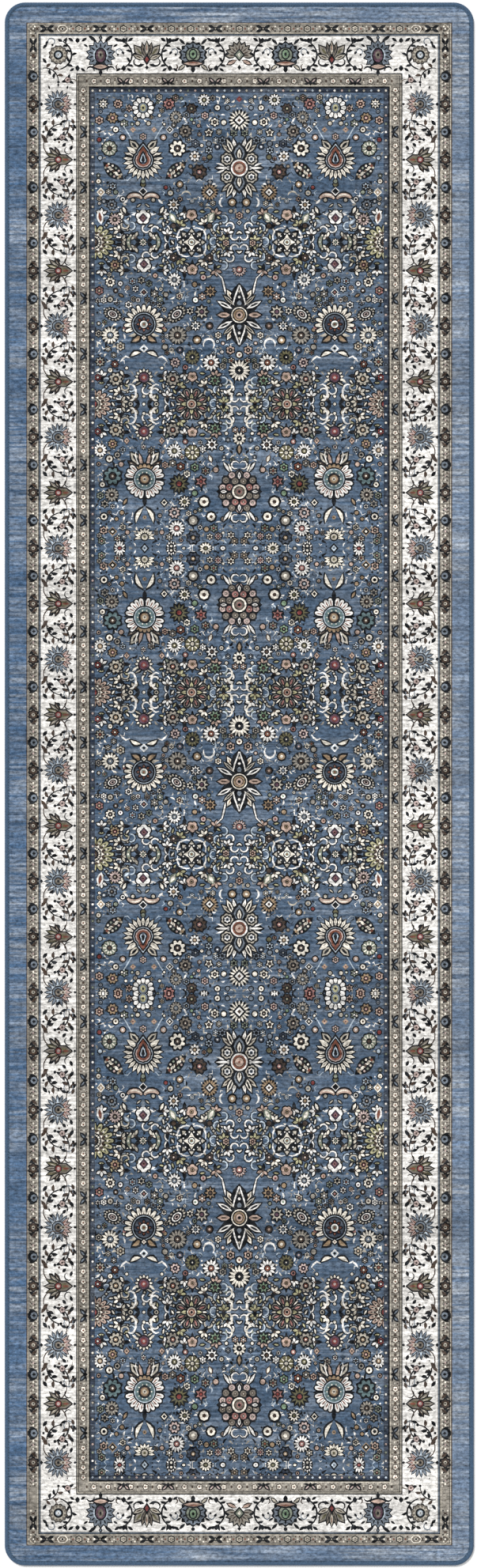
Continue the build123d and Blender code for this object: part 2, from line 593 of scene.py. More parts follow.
def cross_medallion():
    """An eight-lobed dusky flower with olive cross petals."""
    dusky = ((5, 22, 12.5, "ink"), (8, 20.4, 8.0, "oat"), (9, 19.4, 4.6, "ink"))
    shapes = fan(8, 22.5, 360, *dusky, blunt=True) + fan(8, 22.5, 360, (10, 18.4, 2.6, "pink"))
    shapes += fan(8, 0, 360, (6, 21.4, 5.0, "ink"), (12, 20.0, 1.8, "cream"))
    shapes += fan(4, 0, 360, (3, 14.6, 7.4, "ink"), (3, 13.4, 4.6, "lime"), (4, 10.0, 1.4, "olive"))
    return shapes + discs((7.2, "ink"), (6.0, "sand"), (4.4, "rust"), (2.8, "peach"), (1.2, "ink"))


def sunburst(size, petal_yarn):
    """A square flower of many petals round a dark diamond."""
    radius = size / 2
    shapes = petals(16, radius * 0.3, radius * 1.08, 3.4, "ink", math.pi / 16)
    shapes += petals(16, radius * 0.3, radius, 2.5, petal_yarn)
    return shapes + gem(radius * 1.25, radius * 1.25, "ink", "ivory", "umber")


def spoked(size, ground, spoke, core, count=10):
    """A round flower with thin spokes on a lobed ground."""
    radius = size / 2
    shapes = [("ink", lobed(radius, 0.88, count, 3)), (ground, lobed(radius * 0.88, 0.86, count, 3))]
    shapes += petals(count, radius * 0.3, radius * 0.86, 1.7, spoke)
    return shapes + [("ink", circle(radius * 0.32, 9)), (core, circle(radius * 0.22, 8))]


# ---------------------------------------------------------------- the field


def field_unit():
    """The left half of one unit of the field, as (motif, out, down), large motifs after small ones."""
    unit = vines()
    for draw_one, rows in (
        (bead, FIELD_BEADS),
        (eye, FIELD_EYES),
        (rose, FIELD_ROSES),
        (daisy, FIELD_DAISIES),
        (spark, FIELD_SPARKS),
        (gem, FIELD_GEMS),
        (leaf_pair, FIELD_LEAVES),
    ):
        unit += [(draw_one(*look), out, down) for *look, out, down in rows]
    return unit + single_motifs()


# The field's small motifs, each listed as its own sizes and yarns and then its place

# size, yarn, out, down
FIELD_BEADS = [
    (5, "sage", 74, 6), (5, "cream", 20, 4), (7, "slate", 15, 18), (5, "green", 61, 33),
    (5, "cream", 145, 28), (5, "cream", 102, 28), (7, "sand", 130, 38), (7, "sand", 116, 38),
    (8, "slate", 39, 64), (8, "olive", 38, 81), (7, "red", 179, 59), (7, "pale", 178, 82),
    (6, "red", 94, 120), (7, "sage", 158, 126), (8, "olive", 123, 116), (8, "umber", 84, 169),
    (8, "umber", 38, 169), (8, "ochre", 57, 244), (8, "oat", 94, 257), (6, "cream", 147, 302),
    (6, "ochre", 95, 302), (9, "oat", 95, 324), (5, "cream", 144, 351), (5, "cream", 99, 351),
    (5, "cream", 122, 387), (5, "cream", 122, 397), (5, "cream", 122, 409), (8, "peach", 151, 474),
    (9, "peach", 30, 481), (9, "green", 57, 511), (7, "ochre", 150, 536), (6, "ochre", 157, 544),
    (7, "peach", 143, 561), (7, "peach", 99, 561), (8, "ochre", 42, 557), (6, "cream", 71, 582),
]

# size, ring, core, out, down
FIELD_EYES = [
    (8, "cream", "umber", 28, 18), (8, "cream", "umber", 158, 46), (8, "peach", "ivory", 149, 56),
    (8, "peach", "ivory", 97, 56), (5, "peach", "rust", 52, 41), (7, "navy", "ivory", 28, 68),
    (7, "cream", "ochre", 180, 112), (9, "ochre", "ivory", 76, 116), (8, "sand", "slate", 88, 127),
    (7, "ivory", "ink", 149, 135), (11, "ochre", "cream", 9, 139), (8, "blush", "red", 46, 235),
    (8, "ivory", "green", 56, 264), (7, "ivory", "plum", 152, 243), (6, "umber", "ivory", 158, 252),
    (8, "sand", "umber", 165, 263), (9, "umber", "peach", 38, 297), (11, "ochre", "cream", 54, 315),
    (8, "navy", "blush", 76, 328), (7, "pink", "ink", 69, 350), (9, "cream", "rust", 0, 334),
    (10, "cream", "umber", 166, 467), (8, "oat", "ink", 156, 462), (7, "pink", "cream", 69, 445),
    (8, "cream", "umber", 175, 500), (15, "cream", "umber", 45, 522), (10, "cream", "ink", 173, 541),
    (14, "oat", "cream", 59, 546), (13, "cream", "umber", 36, 541), (8, "ivory", "navy", 21, 582),
]

# size, petal, core, lobes, out, down
FIELD_ROSES = [
    (12, "peach", "rust", 8, 155, 13), (15, "pink", "red", 8, 90, 13),
    (13, "umber", "olive", 8, 61, 19), (10, "blush", "pink", 6, 44, 28),
    (14, "ochre", "pink", 8, 162, 31), (11, "peach", "rust", 6, 179, 34),
    (9, "blush", "ochre", 6, 123, 55), (16, "taupe", "umber", 8, 69, 48),
    (10, "navy", "slate", 6, 56, 64), (22, "cream", "umber", 8, 79, 70),
    (19, "umber", "pink", 8, 51, 100), (13, "slate", "umber", 8, 163, 142),
    (10, "peach", "rust", 6, 0, 156), (9, "peach", "rust", 6, 17, 191),
    (13, "ochre", "red", 8, 159, 219), (10, "umber", "peach", 6, 84, 210),
    (10, "umber", "peach", 6, 38, 210), (13, "cream", "umber", 8, 165, 241),
    (11, "pink", "ochre", 6, 179, 252), (9, "cream", "ochre", 6, 27, 309),
    (13, "blush", "plum", 8, 82, 344), (18, "sand", "ochre", 8, 158, 365),
    (18, "oat", "rust", 8, 85, 365), (9, "red", "ivory", 6, 181, 363),
    (12, "ochre", "pink", 8, 162, 448), (9, "peach", "rust", 6, 95, 475),
    (11, "rust", "cream", 6, 75, 477), (11, "green", "umber", 6, 57, 478),
    (24, "teal", "umber", 8, 162, 489), (15, "blush", "slate", 8, 83, 536),
    (17, "navy", "ochre", 8, 59, 568),
]

# size, petal, core, petals, out, down
FIELD_DAISIES = [
    (16, "ivory", "olive", 12, 45, 8), (16, "oat", "slate", 12, 81, 30),
    (14, "ivory", "ochre", 8, 57, 80), (16, "blush", "umber", 12, 159, 161),
    (18, "ivory", "slate", 12, 83, 238), (23, "cream", "slate", 14, 165, 309),
    (24, "oat", "umber", 14, 79, 309), (19, "olive", "ink", 12, 60, 337),
    (22, "ivory", "rust", 12, 36, 344), (28, "cream", "ink", 16, 0, 354),
    (18, "ivory", "ochre", 12, 178, 456), (19, "ivory", "olive", 14, 83, 457),
    (21, "ivory", "pink", 14, 80, 556), (17, "cream", "olive", 12, 43, 582),
    (18, "oat", "umber", 12, 163, 513),
]

# size, petal, core, tips, out, down
FIELD_SPARKS = [
    (14, "cream", "ivory", 8, 174, 13), (12, "cream", "umber", 5, 39, 50),
    (17, "ivory", "ochre", 8, 84, 142), (11, "cream", "sage", 8, 123, 190),
    (16, "ochre", "umber", 8, 37, 253), (19, "sand", "plum", 8, 48, 279),
    (14, "ivory", "slate", 8, 56, 297), (11, "rust", "cream", 8, 159, 346),
    (14, "sand", "rust", 8, 178, 343), (17, "ivory", "umber", 8, 35, 449),
    (26, "olive", "red", 12, 77, 499), (17, "cream", "olive", 10, 70, 522),
    (7, "ivory", "ink", 6, 162, 528), (11, "blush", "pink", 8, 27, 566),
]

# wide, tall, outer, middle, core, out, down
FIELD_GEMS = [
    (8, 8, "red", "red", "pink", 0, 7), (8, 8, "ochre", "peach", "rust", 136, 46),
    (8, 8, "ochre", "peach", "rust", 109, 46), (10, 10, "ivory", "ink", "cream", 89, 46),
    (11, 12, "cream", "ochre", "ivory", 177, 126), (11, 11, "ivory", "ink", "ink", 123, 125),
    (8, 8, "ink", "ivory", "ink", 0, 165), (10, 10, "ivory", "ink", "pink", 122, 254),
    (11, 11, "ivory", "pale", "ink", 122, 326), (9, 11, "umber", "peach", "umber", 144, 444),
    (9, 11, "umber", "peach", "umber", 99, 444), (11, 12, "ink", "cream", "ink", 96, 523),
    (12, 14, "ink", "pale", "navy", 121, 582), (12, 12, "ochre", "ink", "cream", 162, 560),
]

# long, wide, outer, inner, turn, out, down
FIELD_LEAVES = [
    (13, 7, "ink", "cream", 25, 147, 149), (13, 7, "ink", "cream", -25, 99, 149),
    (19, 9, "ivory", "rust", 10, 178, 158), (11, 6, "slate", "pale", 50, 144, 164),
    (11, 6, "slate", "pale", -50, 102, 164), (15, 9, "sage", "cream", 30, 85, 159),
    (15, 9, "sage", "cream", -30, 36, 158), (9, 5, "ink", "ochre", 60, 151, 258),
    (15, 8, "ink", "ochre", 0, 0, 455), (12, 7, "umber", "cream", 20, 37, 467),
    (12, 6, "ink", "ochre", -30, 146, 522), (12, 6, "ink", "sage", 35, 152, 437),
    (12, 6, "ink", "sage", -35, 92, 437),
]


def single_motifs():
    """The motifs that a unit has only once or twice."""
    white_vine = [(-11, 14), (-4, 7), (-2, -1), (0, -10), (4, -20), (7, -28)]
    hook = arc((0, 0), 7, 200, -40, 8, 1.1)
    two_eyed = daisy(14, "ivory", "sand", 12, tall=1.45)
    two_eyed += upright(moved(discs((3.2, "ink"), (1.5, "cream")), y=3.4))
    return [
        (fan_daisy(28), 123, 18),
        (sunburst(27, "cream"), 0, 34),
        (sunburst(21, "ochre"), 38, 126),
        (spoked(21, "sage", "cream", "umber"), 166, 70),
        (spoked(21, "olive", "cream", "sand", 8), 60, 459),
        (spray(-40), 161, 99),
        (spray(40), 81, 98),
        (moustache(), 123, 131),
        ([("ivory", ribbon(arc((4, 0), 7, 120, 240, 6), 2.6))], 22, 139),
        ([("sand", ribbon(arc((0, -3), 6, 160, 10, 6), 2.4))], 68, 128),
        (bud(), 123, 158),
        (moved(bud(), flip_y=True), 122, 219),
        (tripod(), 61, 155),
        (moved(tripod(), flip_y=True), 60, 225),
        (moved(crescent(), flip_x=True), 138, 190),
        (crescent(), 107, 190),
        ([("ink", ribbon(white_vine, 4.2, 0.5)), ("ivory", ribbon(white_vine, 2.0, 0.5))], 18, 243),
        (tripod_palm(), 0, 225),
        (oval_bloom(22, 15, -25), 162, 282),
        (oval_bloom(25, 16, 40), 80, 282),
        ([("ivory", ribbon(hook, 2.8))], 39, 321),
        (wings(), 122, 333),
        (arch_bud(), 122, 363),
        (moved(arch_bud(), flip_y=True), 122, 432),
        (rose(18, "sand", "ochre", 8), 158, 430),
        (rose(18, "oat", "rust", 8), 85, 430),
        (rose(9, "red", "ivory", 6), 181, 432),
        (moved(tripod(), grow=0.9), 60, 362),
        (moved(tripod(), grow=0.9, flip_y=True), 60, 433),
        (spark(15, "green", "umber", 7), 31, 367),
        (spark(15, "green", "umber", 7), 31, 428),
        (scroll_knot(), 139, 397),
        (moved(scroll_knot(), flip_x=True), 106, 397),
        (cream_chain(), 15, 397),
        (daisy(17, "cream", "ink", 10), 0, 441),
        (spark(16, "pink", "red", 6), 49, 496),
        (arch_leaf(), 121, 539),
        (crown(), 121, 567),
        (daisy(16, "ivory", "red", 12, tall=1.35), 153, 582),
        (two_eyed, 87, 582),
        (half_palm("lime", "cream", "umber"), 186, 190),
        (moved(half_palm("peach", "sand", "red"), grow=0.85), 186, 397),
        (star_medallion(), 61, 190),
        (cross_medallion(), 61, 397),
        (rosette_medallion(), 0, 95),
        (dark_star_medallion(), 0, 283),
        (cluster_medallion(), 0, 509),
        (palmette_flame(), 123, 85),
        (palmette_fan(), 122, 295),
        (palmette_orb(), 121, 496),
    ]


# yarn, turn, out, and how far above and below the row's middle
VINES = [
    ("ivory", 0, 9, 14), ("pale", 60, 24, 24), ("sand", -50, 33, 12), ("ivory", 90, 84, 8),
    ("pale", 20, 92, 26), ("ivory", -70, 101, 16), ("pale", 70, 143, 16), ("sand", -20, 151, 27),
    ("ivory", 90, 160, 8), ("pale", 30, 170, 22), ("sand", 40, 42, 33), ("pale", -40, 78, 34),
    ("ivory", 10, 121, 24), ("pale", 80, 27, 5),
]
CLOVERS = [
    ("ivory", 20, 15, 12), ("cream", -30, 45, 24), ("lime", 30, 76, 22), ("ivory", 0, 92, 10),
    ("cream", -60, 154, 15), ("lime", 60, 163, 30), ("peach", 10, 30, 36), ("ivory", 90, 97, 36),
    ("cream", -90, 148, 36), ("ivory", 0, 176, 36), ("cream", 40, 112, 6), ("sand", -40, 133, 6),
    ("lime", 0, 20, 2), ("ivory", 180, 70, 38), ("sand", 90, 150, 3),
]
ROWS = (190, 397)


def vines():
    """Scrolls and clovers above and below the middle of each dense row."""
    placed = []
    for row in ROWS:
        for way in (1, -1):
            for yarn, turn, out, off in VINES:
                placed.append((moved(scroll(yarn), turn=turn * way, flip_y=way < 0), out, row + way * off))
            for yarn, turn, out, off in CLOVERS:
                placed.append((moved(clover(yarn), turn=turn * way, flip_y=way > 0), out, row + way * off))
    return placed


def upright(motif):
    """The motif above, and its mirror image below."""
    return motif + moved(motif, flip_y=True)


def tripod_palm():
    """A small rosy palmette on the centre line, its fan down."""
    shapes = fan(9, -190, 200, (2, 10, 3.6, "ink"), (2, 9, 2.4, "blush"))
    return shapes + discs((4.6, "ink"), (3.6, "pink"), (1.6, "cream"))


def scroll(yarn):
    """A thin pale S scroll in a dark shadow, with a knot in its middle and a leaf on either side."""
    spine = arc((3, 6), 5, 10, 230, 7) + arc((-3, -6), 5, 50, -170, 7)
    shapes = [("ink", ribbon(spine, 4.0, 0.6)), (yarn, ribbon(spine, 2.1, 0.7))]
    shapes += [("ink", leaf((4, 4), (12, -1), 5, 3)), ("cream", leaf((5.4, 3), (10.8, -0.4), 2.2, 3))]
    shapes += [("ink", leaf((-4, -4), (-12, 1), 5, 3)), ("lime", leaf((-5.4, -3), (-10.8, 0.4), 2.2, 3))]
    return shapes + [("ink", circle(2.6, 6)), ("sand", circle(1.4, 5))]


def clover(yarn):
    """Three pale petals on a dark stem."""
    shapes = [("ink", leaf((0, -9), (0, 4), 5, 3))]
    shapes += fan(3, 30, 120, (0, 9, 6.0, "ink"), (1, 7.6, 3.4, yarn))
    return shapes + [("umber", circle(1.6, 5))]


def wings():
    """Two cream wings and white S tips under the second palmette."""
    half = [
        ("ink", leaf((2, 3), (19, -4), 8, bend=2)),
        ("cream", leaf((4, 2), (17, -3), 4.4, bend=1.6)),
        ("ivory", ribbon([(18, -5), (23, -3), (27, -6), (30, -10)], 2.6)),
    ]
    return both_sides(half)


def arch_bud():
    """A plum bud under a cream arch."""
    shapes = fan(9, -20, 220, (5, 12.5, 4.2, "ink"), (5, 11.4, 2.9, "cream"))
    shapes += discs((7.4, "ink"), (6.3, "plum"), (3.8, "red"), (1.8, "blush"))
    leaves = [("ink", leaf((3, -5), (12, -11), 4)), ("sand", leaf((4, -6), (11, -10), 1.8))]
    return shapes + both_sides(leaves)


def cream_chain():
    """A chain of cream scrolls beside the centre line."""
    shapes = []
    for step in (-24, -8, 8, 24):
        shapes.append(("cream", ribbon(arc((0, step), 6, 100, -100, 6, 1.2), 2.4)))
        shapes.append(("sage", circle(1.6, 6, (-2, step))))
    return shapes


def arch_leaf():
    """A cream leaf like a pointed arch."""
    half = [("ink", leaf((1, 12), (12, -12), 8, bend=3)), ("cream", leaf((2, 9), (11, -10), 4.6, bend=2.6))]
    return both_sides(half) + [("ochre", circle(2.6, 8, (0, -3))), ("umber", circle(1.2, 6, (0, -3)))]


def crown():
    """A cream and olive palmette, its fan up."""
    layers = ((3, 14, 5.0, "ink"), (3, 12.8, 3.4, "cream"), (4, 8.5, 1.6, "olive"))
    return fan(9, -10, 200, *layers, tall=0.9) + discs((5.2, "ink"), (4.0, "sand"), (1.8, "olive"))


FIELD_HALF_WIDTH = HALF_WIDTH - 115.0
FIELD_TOP = 117.0  # from the rug's end
UNIT_LENGTH = 581.4
JOIN_DOWN = 12.0  # how far down a unit the second and third units meet
STRETCH = 1.0593  # the last unit and the side borders beside it are longer by this much
MIRROR = FIELD_TOP + UNIT_LENGTH  # where the first and second units meet
JOIN = MIRROR + UNIT_LENGTH - JOIN_DOWN  # where the second and third units meet
THIRD_END = JOIN + UNIT_LENGTH - JOIN_DOWN
LAST_PART = 40.0  # how much of a fourth unit, mirrored again, can show after the third
HALO = 0.55  # how far the field's dark outlines are pushed out round its motifs
SEED = 7
FLOWER_TRIES = 1500
SPECK_TRIES = 4400


def scattered(unit):
    """Small flowers, then pale and dark specks, on the ground that the unit's motifs leave bare."""
    draw = random.Random(SEED)
    taken = []
    for motif, out, down in unit:
        points = [p for yarn, outline in motif for p in outline]
        taken.append((out, down, max(math.hypot(x, y) for x, y in points)))

    def free(out, down, reach, share):
        """Whether a round place is clear of all the others, each shrunk to that share of its radius."""
        return all(math.hypot(out - o, down - d) > r * share + reach for o, d, r in taken)

    found = []
    for _ in range(FLOWER_TRIES):
        out, down = draw.uniform(4, FIELD_HALF_WIDTH - 4), draw.uniform(4, UNIT_LENGTH - 6)
        size = draw.choice((6, 7, 8, 9, 10, 11))
        yarn = draw.choice(("sand", "oat", "cream", "slate", "taupe", "ivory", "peach", "sage", "pale"))
        core = draw.choice(("umber", "rust", "ink", "ivory", "ochre"))
        if free(out, down, size / 2, 0.80):
            kind = draw.choice((eye, rose, spark, spark))
            motif = eye(size * 0.70, yarn, core) if kind is eye else kind(size * 1.05, yarn, core, 6)
            found.append((motif, out, down))
            taken.append((out, down, size / 2))
    for i in range(SPECK_TRIES):
        out, down = draw.uniform(2, FIELD_HALF_WIDTH - 2), draw.uniform(2, UNIT_LENGTH)
        size = draw.choice((1.6, 2.0, 2.6))
        yarn = draw.choice(("cream", "pale", "oat", "ivory", "ink", "ink", "sand", "oat", "ivory", "ink"))
        long, turn = draw.uniform(4, 8), draw.uniform(0, 360)
        if free(out, down, size / 2 + 0.3, 0.84):
            if i % 3 == 0:
                speck = [(yarn, circle(size / 2, 4))]
            elif i % 3 == 1:
                speck = moved([(yarn, leaf((-long / 2, 0), (long / 2, 0), size, 3, 1.0))], turn=turn)
            else:
                speck = moved([(yarn, ribbon(arc((0, 0), long / 2, 0, 170, 3), 1.2))], turn=turn)
            found.append((speck, out, down))
            taken.append((out, down, size / 2 + 0.3))
    return found


# ---------------------------------------------------------------- the borders

# yarn, inset from the rug's sides and inset from its ends, from the outermost in
FRAMES = [
    ("umber", 27.8, 26.0),
    ("sand", 29.2, 27.2),
    ("ink", 30.6, 28.4),
    ("oat", 31.4, 29.2),
    ("sand", 41.6, 39.0),
    ("ink", 43.0, 40.2),
    ("slate", 44.2, 41.4),
    ("ink", 45.4, 42.6),
    ("ivory", 46.2, 43.4),
    ("ink", 91.4, 91.0),
    ("sand", 92.8, 92.6),
    ("ink", 94.0, 93.8),
    ("oat", 95.0, 94.6),
    ("sand", 106.0, 106.0),
    ("ink", 107.6, 107.6),
    ("navy", 109.6, 110.0),
]
FIELD_EDGE = ("ink", 115.4, 116.0)

SIDE_PITCH = 71.0
SIDE_END = 1886.0  # how far along the side borders' cells go, before they are stretched
SIDE_MIDDLE = 68.6  # the ivory border's centre line, in from the rug's side
END_MIDDLE = 67.4  # and in from its end
END_PITCH = 59.1
OUTER_GUARD = 36.6  # the guards' centre lines, in from the sides
INNER_GUARD = 100.5
END_OUTER_GUARD = 34.0  # and in from the ends
END_INNER_GUARD = 100.9
OUTER_GUARD_START = 68.0  # the guards' cells beside the side borders are cut off here, short of the corners
INNER_GUARD_START = 95.0
INNER_GUARD_END = 1858.0
FIRST_FLOWER, LAST_FLOWER = -8, 16  # the side border's flowers, counted from the mirror line
BEAD_SIZE = 4.2
BEADS_SIDE_INSET, BEADS_END_INSET = 112.5, 113.0  # of the beads' centres, round the field
BEAD_PITCH_ACROSS, BEAD_PITCH_ALONG = 9.4, 10.6


def side_flower():
    """A slate flower of narrow petals with a peach fan on the field's side, which is +x."""
    shapes = fan(13, 52, 256, (6, 19.0, 5.0, "ink"), (6, 17.4, 3.4, "slate"))
    shapes += fan(7, 52, 256, (5, 13.6, 2.6, "pale"))
    shapes += fan(5, -40, 80, (4, 18.4, 5.6, "ink"), (4, 16.6, 3.8, "blush"), (6, 13, 1.5, "rust"))
    shapes += discs((8.4, "ink"), (7.2, "slate"), (5.2, "ink"), (4.0, "taupe"), (1.8, "ink"))
    shapes += [("sand", leaf((2, 0), (10, 0), 5)), ("umber", circle(1.5, 5, (6, 0)))]
    for angle in (60, 90, 120, 240, 270, 300):
        x, y = polar(22.0, math.radians(angle))
        shapes.append(("ink", leaf((x, y), (x * 1.13, y * 1.13 + 2.4), 2.6, 3)))
    return shapes + [("ink", rhombus(4, 4, (21.4, 0))), ("ink", rhombus(5, 5, (-21.5, 0)))]


def side_palmette():
    """A fan of narrow brown leaves that points to the field, with a red core."""
    shapes = []
    for angle, reach, yarn in ((104, 15.5, "umber"), (128, 17.5, "taupe"), (153, 16.5, "olive")):
        for side in (-1, 1):
            x, y = polar(reach, math.radians(angle))
            shapes += edged_leaf((2, side * 1.5), (x, side * y), 4.6, yarn, "sand")
    shapes += edged_leaf((0, 0), (-17.5, 0), 5, "oat", "umber") + edged_leaf((-6, 0), (17, 0), 13, "taupe")
    for side in (-1, 1):
        shapes.append(("olive", leaf((-2, side * 1.6), (12, side * 2.4), 3.0, 3)))
        shapes.append(("ink", ribbon(arc((13, side * 12), 5.0, 180 - side * 60, 180 + side * 130, 6), 1.6)))
    shapes += discs((4.8, "ink"), (3.8, "red"), (2.2, "blush")) + [("rust", leaf((5, 0), (14, 0), 3.4, 3))]
    return shapes + [("ink", circle(1.8, 6, (21, 0)))]


def sprig(leaves=5):
    """A dark branching sprig with leaves on both sides, which grows up and to the right."""
    stem = arc((13, -11), 19, 195, 92, 8)
    shapes = [("ink", ribbon(stem, 1.8, 0.6))]
    for i in range(1, leaves + 1):
        x, y = stem[i]
        side = 1 if i % 2 else -1
        dx, dy = polar(9.4, math.radians(95 + side * 55 - 12 * i))
        shapes.append((("ink", "umber")[i % 2], leaf((x, y), (x + dx, y + dy), 4.6, 3, side)))
    return shapes + [("ink", circle(2.1, 6, stem[-1]))]


def rosebud():
    """A small blush flower with dark leaves."""
    shapes = [
        ("ink", leaf((-8, -3), (0, 0), 4)),
        ("ink", leaf((8, -5), (0, 0), 4)),
        ("ink", leaf((3, 8), (0, 0), 3.6)),
    ]
    shapes += [("taupe", ribbon(arc((6, -6), 7, 120, -20, 6), 1.5))]
    return shapes + [
        ("ink", lobed(4.6, 0.8, 5, 3)), ("blush", lobed(3.6, 0.78, 5, 3)), ("umber", circle(1.4, 6))
    ]


def curl(size=6.0):
    """An open dark curl that ends in a leaf."""
    return [
        ("slate", ribbon(arc((0, 0), size, 250, -30, 8), 1.5, 0.7)),
        ("ink", leaf((size, 1), (size * 1.6, -size * 0.9), 3.6, 3)),
        ("ink", circle(1.6, 6, polar(size, math.radians(250)))),
    ]


def corner_rosette():
    """The round flower in each corner of the ivory border."""
    shapes = [("ink", lobed(13.0, 0.86, 12, 2)), ("taupe", lobed(11.4, 0.80, 12, 3))]
    shapes += petals(12, 6, 10.4, 2.4, "sand")
    shapes += discs((7.4, "sand"), (6.4, "ink"), (3.8, "pale"))
    return shapes + [("ivory", rhombus(5, 6)), ("slate", rhombus(2.4, 3))]


def lotus():
    """The end border's middle flower: pointed tan petals over a dark diamond."""
    shapes = fan(9, -5, 190, (3, 19, 9, "ink"), (3, 17, 5.4, "oat"), (5, 13, 1.8, "umber"))
    shapes += gem(15, 17, "ink", "sage", "cream")
    shapes += both_sides(edged_leaf((4, -7), (15, -12), 4, "peach"))
    return shapes + [("ink", rhombus(5, 7, (0, -16))), ("ink", rhombus(5, 6, (0, 20)))]


def crown_palmette():
    """A squarish grey palmette with a green core on an ochre base."""
    shapes = [("ink", star(19.0, 16.2, 14, tall=0.96)), ("slate", lobed(15.6, 0.86, 10, 3, tall=0.98))]
    shapes += petals(10, 8, 14.8, 2.4, "ink", math.pi / 10)
    shapes += [("ink", circle(10.4, 12)), ("sage", circle(8.6, 12)), ("ink", circle(5.8, 10, (0, 1), 1.25))]
    shapes += [("green", circle(4.2, 9, (0, 1), 1.3)), ("ink", circle(1.8, 6, (0, 1), 1.4))]
    shapes += [
        ("ink", leaf((-15, -11), (15, -11), 10)),
        ("peach", leaf((-12, -11), (12, -11), 5)),
        ("rust", leaf((-8, -10), (8, -10), 2)),
    ]
    shapes += [("ink", circle(2.6, 7, (0, 20.5))), ("ink", leaf((0, -14), (0, -23), 6))]
    half = edged_leaf((10, -12), (18, -19), 3.0, "sand")
    half += [("ink", leaf((10, 13), (18, 21), 4)), ("ink", leaf((15, 6), (22, 10), 3))]
    return both_sides(half) + shapes


def twin_leaf():
    """Two pointed tan leaves like a V over two small ones, with a dark and red heart."""
    half = edged_leaf((3, -4), (16, 12), 9, "oat", "olive")
    half += edged_leaf((3, -6), (17, 0), 5, "sand", "umber")
    half += edged_leaf((2, -3), (6, 15), 4.4, "taupe", "ink")
    half += [("ink", leaf((3, -12), (13, -15), 4)), ("ink", ribbon(arc((12, -9), 5, -160, 60, 6), 2.2))]
    heart = edged_leaf((0, 0), (0, 17), 4, "sand", "rust")
    heart += [
        ("ink", rhombus(10, 15, (0, -6))), ("red", rhombus(5, 8, (0, -6))), ("ink", rhombus(5, 6, (0, -16)))
    ]
    return both_sides(half) + heart


def spiked_palmette():
    """A tall slate palmette with a spiky dark outline and a plum core."""
    shapes = [("ink", star(19.8, 15.2, 14, tall=1.06)), ("slate", star(17.4, 13.8, 14, tall=1.06))]
    shapes += petals(14, 9, 15.5, 2.2, "ink", math.pi / 14)
    shapes += [
        ("pale", circle(9.6, 12)),
        ("ink", circle(8.0, 11, (0, -1), 1.35)),
        ("plum", circle(6.2, 10, (0, -1), 1.35)),
    ]
    shapes += [("taupe", circle(3.8, 8, (0, 0), 1.5)), ("ink", circle(1.5, 5, (0, 0), 1.6))]
    shapes += [
        ("ink", leaf((-12, -15), (12, -15), 11)),
        ("peach", leaf((-9, -15), (9, -15), 5.4)),
        ("ink", leaf((0, -18), (0, -27), 5)),
    ]
    half = [
        ("ink", ribbon(arc((13, -20), 5, 190, 20, 6), 2.6)),
        ("ink", leaf((5, 17), (16, 25), 4.6)),
        ("ink", leaf((16, 10), (22, 14), 3)),
    ]
    return shapes + both_sides(half) + [("ink", rhombus(5, 9, (0, 22))), ("slate", rhombus(2, 4, (0, 22)))]


def end_scroll():
    """The dark bracket that curls round an end border flower, its back towards +x."""
    spine = arc((-8, 0), 21, 62, -72, 11, 0.92)
    shapes = [("ink", ribbon(spine, 2.2, 0.7))]
    for i, side in ((1, 1), (2, -1), (4, -1), (5, 1), (7, -1), (8, 1)):
        x, y = spine[i]
        dx, dy = polar(8.5, math.radians(60 - 13 * i + (35 if side > 0 else 150)))
        shapes.append(("ink", leaf((x, y), (x + dx, y + dy), 3.7, 3, side)))
    x, y = spine[-1]
    shapes.append(("umber", ribbon(arc((x - 2, y + 3), 3.8, -60, -250, 6), 1.8)))
    x, y = spine[0]
    return shapes + [("ink", leaf((x, y), (x - 7, y + 3), 4.0)), ("ink", leaf((x, y), (x + 5, y + 4), 3.0))]


def side_guard_cell():
    """One pitch of the outer guard along a side: a dark flower, and half a pitch on a slate half-disc."""
    shapes = [
        ("ink", lobed(7.8, 0.72, 6, 3)),
        ("umber", lobed(5.6, 0.7, 6, 3)),
        ("sand", circle(2.4, 6)),
        ("ink", circle(1.2, 4)),
    ]
    half = [("ink", leaf((-5.6, 6), (3.6, 13), 4.4, 3)), ("umber", leaf((5.4, 6), (-2.6, 12.4), 3.6, 3))]
    half += [("sand", circle(1.3, 5, (-3.6, 12.6))), ("cream", circle(1.3, 5, (4.2, 12.2)))]
    for i, y in enumerate((16.5, 21.5, 26.0)):
        half.append((("umber", "ink")[i % 2], leaf((-4.4, y - 1.8), (4.4, y + 1.8), 2.0, 3)))
        half.append((("cream", "blush")[i % 2], circle(1.5, 5, (0, y))))
        half.append(("umber", circle(1.1, 4, (-3.8, y + 2.6))))
        half.append(("cream", circle(1.1, 4, (3.8, y + 2.4))))
    shapes += upright(half)
    shapes += [("ink", leaf((-5.6, 28), (4, 31), 3.6, 3)), ("ink", leaf((-5.6, 43), (4, 40), 3.6, 3))]
    return shapes + [
        ("ink", circle(7.0, 9, (-0.6, 35.5))),
        ("slate", circle(4.4, 8, (0.8, 35.5))),
        ("ink", rhombus(5, 4, (0.8, 35.5))),
    ]


